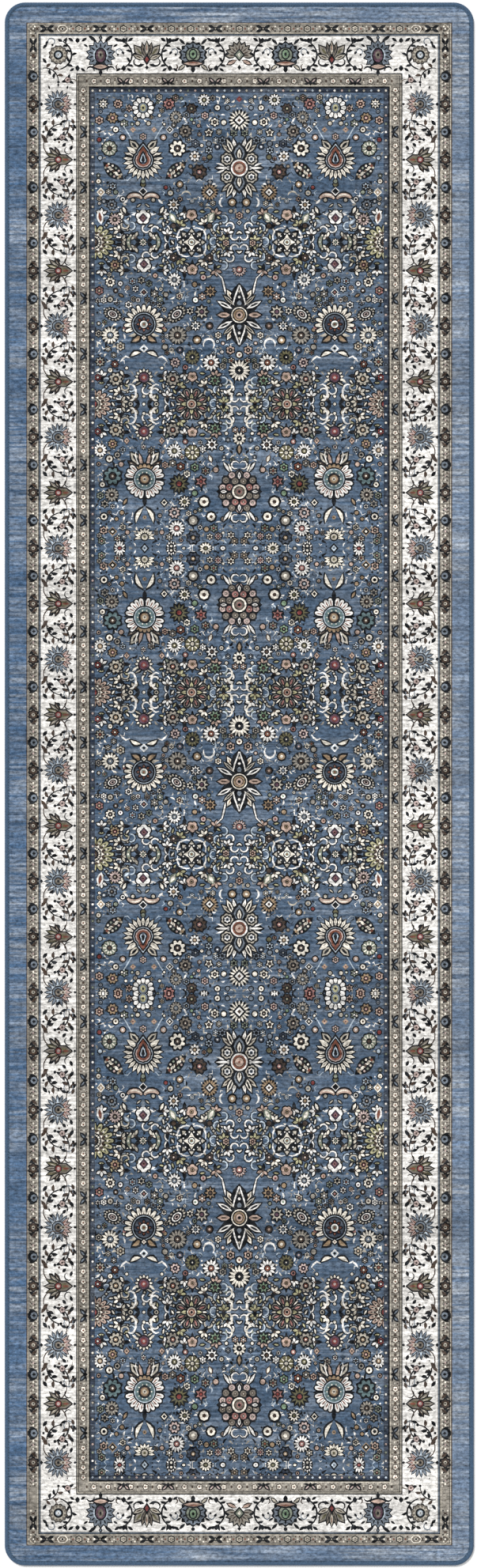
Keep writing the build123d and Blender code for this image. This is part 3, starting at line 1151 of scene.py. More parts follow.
def guard_bow():
    """The outer guard's dark bow, along x, between small crosses and beads."""
    half = [
        ("ink", leaf((0.5, 0.6), (9.4, 4.2), 4.2)),
        ("ink", leaf((0.5, -0.6), (9.4, -4.2), 4.2)),
        ("cream", circle(1.4, 6, (7.4, 0))),
        ("umber", leaf((10, -3), (14, 3), 1.8)),
        ("umber", leaf((10, 3), (14, -3), 1.8)),
        ("cream", circle(1.2, 5, (15.4, 3))),
        ("ink", circle(1.2, 5, (15.4, -2.8))),
    ]
    return both_sides(half) + [("ink", circle(2.6, 7)), ("sand", circle(1.0, 5))]


def guard_flower():
    """The outer guard's ringed flower between beads."""
    half = [
        ("rust", rhombus(3, 3, (7.5, 0))),
        ("ink", circle(1.2, 5, (10, 3.2))),
        ("umber", circle(1.2, 5, (10, -3.2))),
        ("cream", circle(1.2, 5, (12, 0))),
    ]
    flower = [
        ("ink", lobed(5.2, 0.76, 6, 3)),
        ("sand", lobed(3.8, 0.74, 6, 3)),
        ("umber", circle(1.8, 6)),
        ("cream", circle(0.8, 4)),
    ]
    return both_sides(half) + flower


def guard_hexagon():
    """The outer guard's cream hexagon with a dark eye."""
    shapes = [("cream", circle(7.6, 6, tall=0.72)), ("taupe", circle(6.2, 6, tall=0.70))]
    return shapes + [("cream", rhombus(6, 5)), ("ink", circle(1.6, 6))]


def inner_flower(full):
    """One of the inner guard's small flowers: cream with a rust eye, or two beads round a dark one."""
    specks = [("umber", circle(0.9, 4, (4.2, 4.4))), ("umber", circle(0.9, 4, (4.2, -4.4)))]
    if full:
        return specks + [
            ("umber", lobed(4.4, 0.76, 5, 3)), ("cream", lobed(3.3, 0.72, 5, 3)), ("rust", circle(1.3, 5))
        ]
    return specks + [
        ("sand", circle(1.5, 5, (0, 3.2))),
        ("sand", circle(1.5, 5, (0, -3.2))),
        ("umber", rhombus(3.2, 4.4)),
    ]


def butterfly(yarn):
    """The inner guard's dark blossom, drawn along x."""
    half = [
        ("ink", leaf((0, -3.6), (8.4, 4.6), 6.0)),
        (yarn, leaf((1.8, -1.6), (6.4, 3), 2.0)),
        ("ink", leaf((2, -3.4), (9, -3.8), 2.4)),
        ("umber", circle(1.2, 5, (11, 3.0))),
        ("cream", circle(1.2, 5, (11, -1.0))),
    ]
    return both_sides(half) + [("ink", rhombus(5, 7, (0, -2.6)))]


def inner_cell():
    """One pitch of the inner guard along a side, drawn along x: a butterfly, then small flowers."""
    shapes = butterfly("slate")
    for i, share in enumerate((0.25, 0.33, 0.42, 0.5, 0.58, 0.67, 0.75)):
        shapes += moved(inner_flower(i % 2 == 0), x=SIDE_PITCH * share)
    return shapes


# ---------------------------------------------------------------- laying the print out


def clipped(points, limit, keep_below):
    """The part of an outline whose second number is under limit, or over it."""
    sign = 1 if keep_below else -1
    kept = []
    for i, (x1, y1) in enumerate(points):
        x0, y0 = points[i - 1]
        d0, d1 = sign * (limit - y0), sign * (limit - y1)
        if (d0 < 0) != (d1 < 0):
            t = d0 / (d0 - d1)
            kept.append((x0 + (x1 - x0) * t, limit))
        if d1 >= 0:
            kept.append((x1, y1))
    return kept


def area(points):
    twice = sum(points[i - 1][0] * y - x * points[i - 1][1] for i, (x, y) in enumerate(points))
    return abs(twice) / 2


def wound(points):
    """The outline from its leftmost point on, with its inside on the left, as the cutting needs it."""
    first = points.index(min(points))
    points = points[first:] + points[:first]
    (x0, y0), (x1, y1), (x2, y2) = points[-1], points[0], points[1]
    turns_left = (x1 - x0) * (y2 - y1) - (y1 - y0) * (x2 - x1) > 0
    return points if turns_left else points[:1] + points[:0:-1]


SMALLEST_AREA = 0.05  # square millimetres; a smaller shape is left out


class Print:
    """The left half of the rug's print: shapes in rug coordinates, each over the ones before it."""

    def __init__(self):
        self.shapes = []

    def draw(self, yarn, points):
        """Add a shape, unless it is all on the right or cutting it to length has left nothing of it."""
        if len(points) > 2 and area(points) > SMALLEST_AREA and min(points)[0] < 0:
            self.shapes.append((yarn, wound(points)))

    def place(self, motif, x, y, flip_y=False):
        for yarn, points in moved(motif, x, y, flip_y=flip_y):
            self.draw(yarn, points)

    def lengthwise(self, motif, out, along, mirrored=False, first=-math.inf, last=math.inf):
        """Place a motif by its design length along the rug from the top end, cut to first and last.

        The design length is then stretched past the join, so that the print fills the rug.
        """
        for yarn, points in moved(motif, flip_y=mirrored):
            placed = [(x - out, along - y) for x, y in points]
            placed = clipped(clipped(placed, first, False), last, True)
            self.draw(yarn, [(x, HALF_LENGTH - stretched(s)) for x, s in placed])


def stretched(along):
    return along if along < JOIN else JOIN + (along - JOIN) * STRETCH


def rounded_quarter(inset, upper):
    """The left quarter of the rug's outline, taken in by inset, above or below its middle."""
    side, end, radius = HALF_WIDTH - inset, HALF_LENGTH - inset, CORNER - inset
    corner = arc((-side + radius, end - radius), radius, 180, 90, 9)
    points = [(0.0, 0.0), (-side, 0.0)] + corner + [(0.0, end)]
    return points if upper else [(x, -y) for x, y in points]


def bracket(outer, inner):
    """A frame's left half, from one pair of insets (side, end) to the next."""
    xo, yo = HALF_WIDTH - outer[0], HALF_LENGTH - outer[1]
    xi, yi = HALF_WIDTH - inner[0], HALF_LENGTH - inner[1]
    return [(0, yo), (-xo, yo), (-xo, -yo), (0, -yo), (0, -yi), (-xi, -yi), (-xi, yi), (0, yi)]


# The rim is drawn in steps of one colour, so that the mesh has edges where the pile rises from the yarn;
# its darker blue is painted shade in that groove
RIM_INSETS = (CLOTH_INSET, WRAP_INSET, WRAP_INSET + 0.8, WRAP_INSET + 1.8)


def swollen(motif, by):
    """The motif with each dark outline pushed out from its own middle."""
    result = []
    for yarn, points in motif:
        if yarn == "ink":
            mid_x = sum(x for x, y in points) / len(points)
            mid_y = sum(y for x, y in points) / len(points)
            grown = []
            for x, y in points:
                share = 1 + by / max(math.hypot(x - mid_x, y - mid_y), 1.0)
                grown.append((mid_x + (x - mid_x) * share, mid_y + (y - mid_y) * share))
            points = grown
        result.append((yarn, points))
    return result


def draw_field(print_):
    """A unit, its mirror image and the unit again, then the start of another mirror image."""
    unit = field_unit()
    unit = [(swollen(motif, HALO), out, down) for motif, out, down in scattered(unit) + unit]
    for motif, out, down in unit:
        print_.lengthwise(motif, out, FIELD_TOP + down, last=MIRROR)
    for motif, out, down in unit:
        print_.lengthwise(motif, out, 2 * MIRROR - FIELD_TOP - down, mirrored=True, first=MIRROR, last=JOIN)
    for motif, out, down in unit:
        print_.lengthwise(motif, out, JOIN + down - JOIN_DOWN, first=JOIN, last=THIRD_END)
    for motif, out, down in unit:
        if down > UNIT_LENGTH - LAST_PART:
            along = THIRD_END + UNIT_LENGTH - down
            print_.lengthwise(motif, out, along, mirrored=True, first=THIRD_END)


def draw_frames(print_):
    """The plain bands and lines of the borders, one inside another."""
    steps = FRAMES + [FIELD_EDGE]
    for this, following in zip(FRAMES, steps[1:]):
        print_.draw(this[0], bracket(this[1:], following[1:]))


def draw_bead_band(print_):
    """Small beads in turn along the dark line round the field."""
    yarns = ("ivory", "sand", "pale", "cream", "slate", "ivory", "blush", "sage")
    side, end = HALF_WIDTH - BEADS_SIDE_INSET, HALF_LENGTH - BEADS_END_INSET
    count = round(side / BEAD_PITCH_ACROSS)
    for i in range(count):
        for way in (1, -1):
            print_.place(bead(BEAD_SIZE, yarns[i % len(yarns)]), -side * i / count, way * end)
    rows = round(2 * end / BEAD_PITCH_ALONG)
    for i in range(rows + 1):
        print_.place(bead(BEAD_SIZE, yarns[(i + 3) % len(yarns)]), -side, end - 2 * end * i / rows)


# The thin scrolls and loose leaves between two flowers of the side border
LOOSE_LEAVES = [
    ("umber", ribbon(arc((-4, 16), 15, 130, -30, 9), 1.5)),
    ("umber", ribbon(arc((-6, -17), 13, 100, 290, 9), 1.5)),
    ("ink", leaf((14, -4), (20, -11), 5, 3)),
    ("ink", leaf((-20, 8), (-14, 15), 5, 3)),
    ("umber", leaf((-20, -9), (-13, -14), 5, 3)),
    ("ink", leaf((10, -14), (5, -19), 4.4, 3)),
    ("umber", leaf((17, 17), (20.5, 10), 4.4, 3)),
    ("ink", leaf((-3, 20), (3, 24), 4.4, 3)),
    ("ink", leaf((18, -17), (15, -24), 4.4, 3)),
    ("ink", circle(1.8, 5, (-19, 0))),
    ("umber", circle(1.8, 5, (1, -13))),
    ("ink", circle(1.8, 5, (19, 3))),
    ("ink", leaf((-8, 2), (-15, -4), 4, 3)),
    ("ink", leaf((3, 12), (11, 15), 4, 3)),
    ("ink", leaf((-12, -20), (-5, -24), 4, 3)),
    ("umber", leaf((6, 2), (13, 6), 4, 3)),
]


def draw_side_border(print_):
    """The long border's flowers and palmettes in turn, with the guards on both sides of it."""
    out, guard_out, inner_out = (HALF_WIDTH - inset for inset in (SIDE_MIDDLE, OUTER_GUARD, INNER_GUARD))
    blossoms = moved(inner_cell(), turn=90)
    filling = moved(sprig(), -9, 2) + moved(sprig(3), 8, -2, turn=180)
    filling += moved(curl(), 13, 9) + moved(rosebud(), 5, -7) + LOOSE_LEAVES
    before = MIRROR + SIDE_PITCH * (FIRST_FLOWER - 1)
    print_.lengthwise(side_guard_cell(), guard_out, before, first=OUTER_GUARD_START)
    for k in range(FIRST_FLOWER, LAST_FLOWER + 1):
        along = MIRROR + SIDE_PITCH * k
        middle = along + SIDE_PITCH / 2
        print_.lengthwise(side_palmette() if k % 2 else side_flower(), out, along)
        if k < LAST_FLOWER:
            print_.lengthwise(filling, out, middle, mirrored=k % 4 in (1, 2))
        print_.lengthwise(side_guard_cell(), guard_out, along, first=OUTER_GUARD_START, last=SIDE_END)
        print_.lengthwise(blossoms, inner_out, middle, first=INNER_GUARD_START, last=INNER_GUARD_END)


# How far out from the centre line each part of the end guards is
BOWS = (30.5, 118, 178, 246)
HEXAGONS = (226,)
GUARD_FLOWERS = (0, 62, 87, 148, 205)
BLOSSOMS = (31, 91, 148)
INNER_FLOWERS = (0, 10, 20, 42, 51, 60, 70, 80, 102, 111, 120, 130, 139, 159, 168, 177, 186, 195)


def draw_end_guards(print_, guard, inner, down):
    for motif, places in (
        (guard_flower(), GUARD_FLOWERS), (guard_bow(), BOWS), (guard_hexagon(), HEXAGONS)
    ):
        for out in places:
            print_.place(motif, -out, guard, down)
    for i, out in enumerate(INNER_FLOWERS):
        print_.place(inner_flower(i % 2 == 0), -out, inner, down)
    for out in BLOSSOMS:
        print_.place(butterfly("blush"), -out, inner, down)


def draw_corner(print_, middle, guard, down):
    """A corner's rosette with its scrolls, and the lozenge and bow in the outer guard."""
    way = -1 if down else 1
    corner_x = -(HALF_WIDTH - SIDE_MIDDLE)
    print_.place(end_scroll(), corner_x + 4, middle, down)
    print_.place(moved(sprig(), turn=-95, grow=0.9), corner_x - 6, middle - way * 23, down)
    print_.place(rosebud(), corner_x + 12, middle - way * 32, down)
    print_.place(moved(curl(4.5), flip_x=True), corner_x - 9, middle + way * 17, down)
    leaves = [("ink", leaf((-20, 8), (-14, 14), 4)), ("ink", leaf((-20, -4), (-15, -11), 4))]
    print_.place(leaves + corner_rosette(), corner_x, middle, down)
    guard_x = -(HALF_WIDTH - OUTER_GUARD)
    print_.place(moved(guard_bow(), turn=90), guard_x, guard - way * 21, down)
    lozenge = [("sand", rhombus(13, 13)), ("taupe", rhombus(10, 10)), ("ink", rhombus(5, 5))]
    print_.place(lozenge + [("cream", circle(1.4, 6))], guard_x, guard, down)


def draw_end_borders(print_):
    """The short borders' flowers with scrolls and twigs between them, then the corners and the guards."""
    flowers = (lotus(), crown_palmette(), twin_leaf(), spiked_palmette())
    twigs = [("ink", leaf((0, -21), (0, -13), 6)), ("ink", leaf((0, 22), (0, 15), 6))]
    twigs += both_sides([("ink", leaf((5, 17), (12, 22), 4)), ("ink", leaf((4, -17), (10, -21), 3.6))])
    for way in (1, -1):
        down = way < 0
        middle = way * (HALF_LENGTH - END_MIDDLE)
        guard = way * (HALF_LENGTH - END_OUTER_GUARD)
        inner = way * (HALF_LENGTH - END_INNER_GUARD)
        for k, flower in enumerate(flowers):
            x, turned = -END_PITCH * k, k % 2 == 1
            between = x - END_PITCH / 2
            if k < len(flowers) - 1:
                side = 1 if turned else -1
                print_.place(moved(end_scroll(), flip_x=turned), between + side * 2.4, middle, down)
                print_.place(moved(curl(4.0), flip_x=turned), between + side * 6, middle + way * 4, down)
            print_.place(twigs, between, middle, down)
            print_.place(flower, x, middle, down)
        draw_corner(print_, middle, guard, down)
        draw_end_guards(print_, guard, inner, down)


def whole_print():
    print_ = Print()
    for upper in (True, False):
        # the rim's darker blue paints the shade in the groove beside the edge yarn
        for inset in RIM_INSETS[:-1]:
            print_.draw("rim", rounded_quarter(inset, upper))
        print_.draw("band", rounded_quarter(RIM_INSETS[-1], upper))
    for y in (1, -1):
        side, end = FIELD_HALF_WIDTH, HALF_LENGTH - FIELD_TOP
        print_.draw("denim", [(0, 0), (-side, 0), (-side, y * end), (0, y * end)])
    draw_field(print_)
    draw_frames(print_)
    draw_bead_band(print_)
    draw_side_border(print_)
    draw_end_borders(print_)
    return print_.shapes


# ---------------------------------------------------------------- the cloth


def edge_distance(x, y):
    """How far a point is inside the rug's rounded outline."""
    qx = abs(x) - (HALF_WIDTH - CORNER)
    qy = abs(y) - (HALF_LENGTH - CORNER)
    return CORNER - math.hypot(max(qx, 0), max(qy, 0)) - min(max(qx, qy), 0)


PILE_WEAR = 0.15  # how far below the cloth's full height its worn pile stands on average


def pile_height(x, y):
    """The cloth's top: pressed under the edge yarn, then up a shoulder to a slightly uneven pile."""
    inset = edge_distance(x, y)
    rise = min(1.0, max(0.0, (inset - RIM_INSETS[1]) / (RIM_INSETS[3] - RIM_INSETS[1])))
    shoulder = rise * rise * (3 - 2 * rise)
    uneven = 0.22 * noise.noise(Vector((x / 70, y / 90, 0)))
    uneven += 0.10 * noise.noise(Vector((x / 17, y / 17, 5)))
    return PRESSED_TOP + (TOP - PRESSED_TOP - PILE_WEAR + uneven) * shoulder


def cut_print():
    """Cut the print's shapes against each other: the points, the triangles and each one's yarn."""
    shapes = whole_print()
    points, outlines = [], []
    for _, outline in shapes:
        outlines.append(list(range(len(points), len(points) + len(outline))))
        points += [Vector(p) for p in outline]
    # A grid of extra points lets wide plain areas follow the uneven pile; the offsets keep it off outlines
    spacing, offset_x, offset_y = 12, -0.31, 0.37
    columns, rows = int(HALF_WIDTH / spacing), int(HALF_LENGTH / spacing)
    for i in range(1, columns):
        for j in range(1 - rows, rows):
            points.append(Vector((-i * spacing + offset_x, j * spacing + offset_y)))
    out_points, _, triangles, _, _, sources = delaunay_2d_cdt(points, [], outlines, 1, 1e-4, True)
    faces, yarns = [], []
    for triangle, source in zip(triangles, sources):
        if sum(out_points[i][0] for i in triangle) < 0:
            faces.append(tuple(triangle))
            yarns.append(shapes[max(source)][0])
    return out_points, faces, yarns


def make_cloth():
    """The print and its mirror image as one flat mesh: the points, the faces and each face's yarn."""
    points, faces, yarns = cut_print()
    places = [(p[0], p[1]) for p in points]
    index, used = {}, []

    def corner(x, y):
        key = (round(x, 3), round(y, 3))
        if key not in index:
            index[key] = len(used)
            used.append((x, y))
        return index[key]

    whole, colours = [], []
    for face, yarn in zip(faces, yarns):
        left = [corner(*places[i]) for i in face]
        right = [corner(-places[i][0], places[i][1]) for i in reversed(face)]
        for one in (left, right):
            if len(set(one)) == 3:
                whole.append(one)
                colours.append(yarn)
    return used, whole, colours


def new_object(name, vertices, faces, material, smooth=True):
    """A mesh object from millimetres."""
    mesh = bpy.data.meshes.new(name)
    mesh.from_pydata([(x * MM, y * MM, z * MM) for x, y, z in vertices], [], faces)
    mesh.materials.append(material)
    mesh.polygons.foreach_set("use_smooth", [smooth] * len(mesh.polygons))
    mesh.update()
    made = bpy.data.objects.new(name, mesh)
    bpy.context.scene.collection.objects.link(made)
    return made


def open_edges(faces):
    """The edges that only one face uses, in that face's direction."""
    seen = {}
    for face in faces:
        for i, a in enumerate(face):
            b = face[(i + 1) % len(face)]
            if (b, a) in seen:
                del seen[(b, a)]
            else:
                seen[(a, b)] = True
    return list(seen)


def in_order(edges):
    """The vertices round one closed run of edges."""
    follow = dict(edges)
    start = edges[0][0]
    loop, here = [start], follow[start]
    while here != start:
        loop.append(here)
        here = follow[here]
    return loop


def printed_cloth(material):
    """The print's mesh lifted to the pile's height, with walls and a base, coloured by yarn."""
    flat, faces, yarns = make_cloth()
    vertices = [(x, y, pile_height(x, y)) for x, y in flat]
    rim = in_order(open_edges(faces))
    below = {v: len(vertices) + i for i, v in enumerate(rim)}
    vertices += [(flat[v][0], flat[v][1], CLOTH_LOW[2] / MM) for v in rim]
    walls = []
    for i, v in enumerate(rim):
        following = rim[(i + 1) % len(rim)]
        walls.append((v, below[v], below[following], following))
    base = tuple(below[v] for v in reversed(rim))
    cloth = new_object("printed_pile_cloth", vertices, faces + walls + [base], material)
    mesh = cloth.data
    shades = {yarn: linear(colour) + [BARENESS.get(yarn, 0.0)] for yarn, colour in YARNS.items()}
    per_face = yarns + ["rim"] * len(walls) + ["back"]
    layer = mesh.color_attributes.new("yarn", "FLOAT_COLOR", "CORNER")
    loops = [c for polygon, yarn in zip(mesh.polygons, per_face) for c in shades[yarn] * polygon.loop_total]
    layer.data.foreach_set("color", loops)
    fold_uv(mesh)
    return cloth


def fold_uv(mesh):
    """Lay the two halves of the length side by side in one square UV map."""
    places = np.empty(len(mesh.vertices) * 3)
    mesh.vertices.foreach_get("co", places)
    places = places.reshape(-1, 3) / MM
    corners = np.empty(len(mesh.loops), dtype=int)
    mesh.loops.foreach_get("vertex_index", corners)
    totals = [polygon.loop_total for polygon in mesh.polygons]
    centres = np.array([polygon.center[1] for polygon in mesh.polygons])
    upper = np.repeat(centres > 0, totals)
    x, y = places[corners, 0], places[corners, 1]
    margin = 0.004
    across = (x + HALF_WIDTH) / (2 * HALF_WIDTH) * (0.5 - 2 * margin) + margin + np.where(upper, 0.5, 0.0)
    along = np.where(upper, y, y + HALF_LENGTH) / HALF_LENGTH * (1.0 - 2 * margin) + margin
    layer = mesh.uv_layers.new(name="OFBake")
    layer.data.foreach_set("uv", np.stack([across, along], 1).ravel())


# ---------------------------------------------------------------- the other layers

STITCH_PITCH = 3.4  # of the overlock's turns and of the needle stitches beside them


def outline_points(inset, spacing):
    """Evenly spaced points round the rug's outline, taken in by inset, each with its outward direction."""
    radius = CORNER - inset
    side, end = HALF_WIDTH - inset - radius, HALF_LENGTH - inset - radius
    quarter = QUARTER_TURN * radius
    runs = [2 * end, quarter, 2 * side, quarter] * 2
    count = round(sum(runs) / spacing)
    points = []
    for i in range(count):
        far, run = i * sum(runs) / count, 0
        while far > runs[run]:
            far -= runs[run]
            run += 1
        heading = QUARTER_TURN * (run // 2)
        if run % 2:
            heading += far / radius
            centre = ((side, end), (-side, end), (-side, -end), (side, -end))[run // 2]
            normal = (math.cos(heading), math.sin(heading))
            place = (centre[0] + radius * normal[0], centre[1] + radius * normal[1])
        else:
            normal = (round(math.cos(heading)), round(math.sin(heading)))
            ahead = (-normal[1], normal[0])
            half = side if run in (2, 6) else end
            reach = (end if run in (2, 6) else side) + radius
            step = far - half
            place = (normal[0] * reach + ahead[0] * step, normal[1] * reach + ahead[1] * step)
        points.append((place, normal))
    return points


def layer_mesh(inset, low, high):
    """The vertices and faces of a flat layer with the rug's rounded outline."""
    outline = [place for place, _ in outline_points(inset, 8.0)]
    count = len(outline)
    vertices = [(x, y, low) for x, y in outline] + [(x, y, high) for x, y in outline]
    faces = [(i, (i + 1) % count, count + (i + 1) % count, count + i) for i in range(count)]
    faces += [tuple(reversed(range(count))), tuple(range(count, 2 * count))]
    return vertices, faces


def slab(name, low, high, material):
    """A plain layer under the cloth, as wide as the cloth."""
    vertices, faces = layer_mesh(CLOTH_INSET, low / MM, high / MM)
    return new_object(name, vertices, faces, material, smooth=False)


def overlocked_edge(material):
    """Yarn wrapped round the laminate: a channel whose outside swells at each turn of the yarn."""
    per_wrap, groove = 3, 0.30
    reach = WRAP_INSET
    thick = TOP - PRESSED_TOP
    # inset and height round the channel, with how much of the groove each point takes
    section = [
        (reach, PRESSED_TOP, 0.0),
        (reach, TOP - 0.25, 0.6),
        (reach - 1.0, TOP, 1.0),
        (1.6, TOP, 1.0),
        (0.45, TOP - 0.45, 1.0),
        (0.0, TOP * 0.66, 1.0),
        (0.0, TOP * 0.33, 1.0),
        (0.45, 0.45, 1.0),
        (1.6, 0.0, 1.0),
        (reach, 0.0, 0.6),
        (reach, thick, 0.0),
        (thick, thick + 0.2, 0.0),
        (thick, PRESSED_TOP, 0.0),
    ]
    middle_height = TOP / 2
    spine = outline_points(0.0, STITCH_PITCH / per_wrap)
    spine = spine[: len(spine) // per_wrap * per_wrap]
    vertices = []
    for i, ((x, y), (nx, ny)) in enumerate(spine):
        for j, (inset, height, share) in enumerate(section):
            phase = math.pi * (i / per_wrap + 0.10 * j)
            dip = groove * share * (1 - abs(math.sin(phase)) ** 0.7)
            away = inset + (dip if inset < 1 else 0)
            if inset > 0:
                height += dip if height < middle_height else -dip
            vertices.append((x - nx * away, y - ny * away, height))
    rows, across = len(spine), len(section)
    faces = []
    for i in range(rows):
        following = (i + 1) % rows
        for j in range(across):
            side = (j + 1) % across
            faces.append(
                (i * across + j, following * across + j, following * across + side, i * across + side)
            )
    return new_object("overlock_yarn", vertices, faces, material)


def needle_stitches(material):
    """A row of short stitches along the wrapped yarn's inner edge."""
    gap, radius, sides, lean = 0.5, 0.34, 5, 0.12
    inset = WRAP_INSET + 0.30
    height = TOP - 0.30
    half = (STITCH_PITCH - gap) / 2
    vertices, faces = [], []
    for (x, y), (nx, ny) in outline_points(inset, STITCH_PITCH):
        start = len(vertices)
        for along, share in ((-half, 0.3), (-half * 0.3, 1.0), (half, 0.3)):
            for k in range(sides):
                inward, up = polar(radius * share, FULL_TURN * k / sides)
                inward += lean * along
                vertices.append((x - ny * along - nx * inward, y + nx * along - ny * inward, height + up))
        for ring in range(2):
            for k in range(sides):
                a, b = start + ring * sides + k, start + ring * sides + (k + 1) % sides
                faces.append((a, b, b + sides, a + sides))
        faces.append(tuple(start + k for k in reversed(range(sides))))
        faces.append(tuple(start + 2 * sides + k for k in range(sides)))
    return new_object("needle_stitches", vertices, faces, material)


def grip_backing(material):
    """The rubber sheet with its raised dots, which stand on the floor."""
    dot_height, pitch, radius, sides, bare_rim = 0.45, 18.0, 2.8, 6, 3.0
    rings = ((1.0, dot_height + 0.1), (0.8, 0.06))  # share of the radius and height, from the sheet down
    vertices, faces = layer_mesh(WRAP_INSET, dot_height, BACKING_HIGH[2] / MM)
    row_pitch = pitch * math.sqrt(0.75)
    rows, columns = int(HALF_LENGTH / row_pitch), int(HALF_WIDTH / pitch)
    for j in range(-rows, rows + 1):
        for i in range(-columns, columns + 1):
            x, y = (i + 0.5 * (j % 2)) * pitch, j * row_pitch
            if edge_distance(x, y) < WRAP_INSET + radius + bare_rim:
                continue
            start = len(vertices)
            for share, level in rings:
                vertices += [(*at, level) for at in circle(radius * share, sides, (x, y))]
            vertices.append((x, y, 0.0))
            for k in range(sides):
                a, b = start + k, start + (k + 1) % sides
                faces.append((b, a, a + sides, b + sides))
                faces.append((b + sides, a + sides, start + 2 * sides))
    return new_object("grip_backing_sheet", vertices, faces, material, smooth=False)


# ---------------------------------------------------------------- materials


class Nodes:
    """A short way to build one material's nodes."""

    def __init__(self, name):
        self.material = bpy.data.materials.new(name)
        self.material.use_nodes = True
        self.tree = self.material.node_tree
        self.shader = self.tree.nodes["Principled BSDF"]

    def add(self, kind, **settings):
        node = self.tree.nodes.new(kind)
        for key, value in settings.items():
            setattr(node, key, value)
        return node

    def join(self, output, socket):
        self.tree.links.new(output, socket)

    def place(self, scale):
        """Object coordinates, scaled on each axis."""
        source = self.add("ShaderNodeTexCoord")
        mapping = self.add("ShaderNodeMapping")
        mapping.inputs["Scale"].default_value = scale
        self.join(source.outputs["Object"], mapping.inputs["Vector"])
        return mapping.outputs["Vector"]

    def noise(self, scale, low, high, detail=2.0, roughness=0.6, width=0.4):
        """Noise whose middle part, of that width, is turned into numbers that run from low to high."""
        texture = self.add("ShaderNodeTexNoise")
        texture.inputs["Scale"].default_value = 1.0
        texture.inputs["Detail"].default_value = detail
        texture.inputs["Roughness"].default_value = roughness
        self.join(self.place(scale), texture.inputs["Vector"])
        return self.spread(texture.outputs["Fac"], 0.5 - width / 2, 0.5 + width / 2, low, high)

    def spread(self, value, from_low, from_high, low, high):
        node = self.add("ShaderNodeMapRange")
        self.join(value, node.inputs["Value"])
        node.inputs["From Min"].default_value = from_low
        node.inputs["From Max"].default_value = from_high
        node.inputs["To Min"].default_value = low
        node.inputs["To Max"].default_value = high
        return node.outputs["Result"]

    def maths(self, operation, a, b):
        node = self.add("ShaderNodeMath", operation=operation)
        for value, socket in ((a, node.inputs[0]), (b, node.inputs[1])):
            if isinstance(value, float):
                socket.default_value = value
            else:
                self.join(value, socket)
        return node.outputs[0]

    def times(self, first, *others):
        """The product of all the values."""
        product = first
        for other in others:
            product = self.maths("MULTIPLY", product, other)
        return product

    def mix(self, factor, a, b):
        node = self.add("ShaderNodeMix", data_type="RGBA")
        for value, socket in ((factor, node.inputs[0]), (a, node.inputs[6]), (b, node.inputs[7])):
            if hasattr(value, "is_linked"):
                self.join(value, socket)
            else:
                socket.default_value = value
        return node.outputs[2]

    def brighten(self, colour, value):
        """The colour times the value."""
        node = self.add("ShaderNodeVectorMath", operation="SCALE")
        self.join(colour, node.inputs[0])
        self.join(value, node.inputs["Scale"])
        return node.outputs["Vector"]

    def colour(self, colour, shade):
        """Give the surface one colour, out of 255, that the shade makes lighter and darker."""
        plain = self.add("ShaderNodeRGB")
        plain.outputs[0].default_value = linear(colour) + [1.0]
        self.join(self.brighten(plain.outputs[0], shade), self.shader.inputs["Base Color"])

    def bump(self, height, distance, strength):
        node = self.add("ShaderNodeBump")
        node.inputs["Distance"].default_value = distance
        node.inputs["Strength"].default_value = strength
        self.join(height, node.inputs["Height"])
        self.join(node.outputs["Normal"], self.shader.inputs["Normal"])

    def finish(self, roughness, specular, sheen=0.0):
        self.shader.inputs["Roughness"].default_value = roughness
        self.shader.inputs["Specular IOR Level"].default_value = specular
        self.shader.inputs["Sheen Weight"].default_value = sheen
        self.shader.inputs["Sheen Roughness"].default_value = 0.6
        return self.material


WORN_GREY = (158, 166, 176)


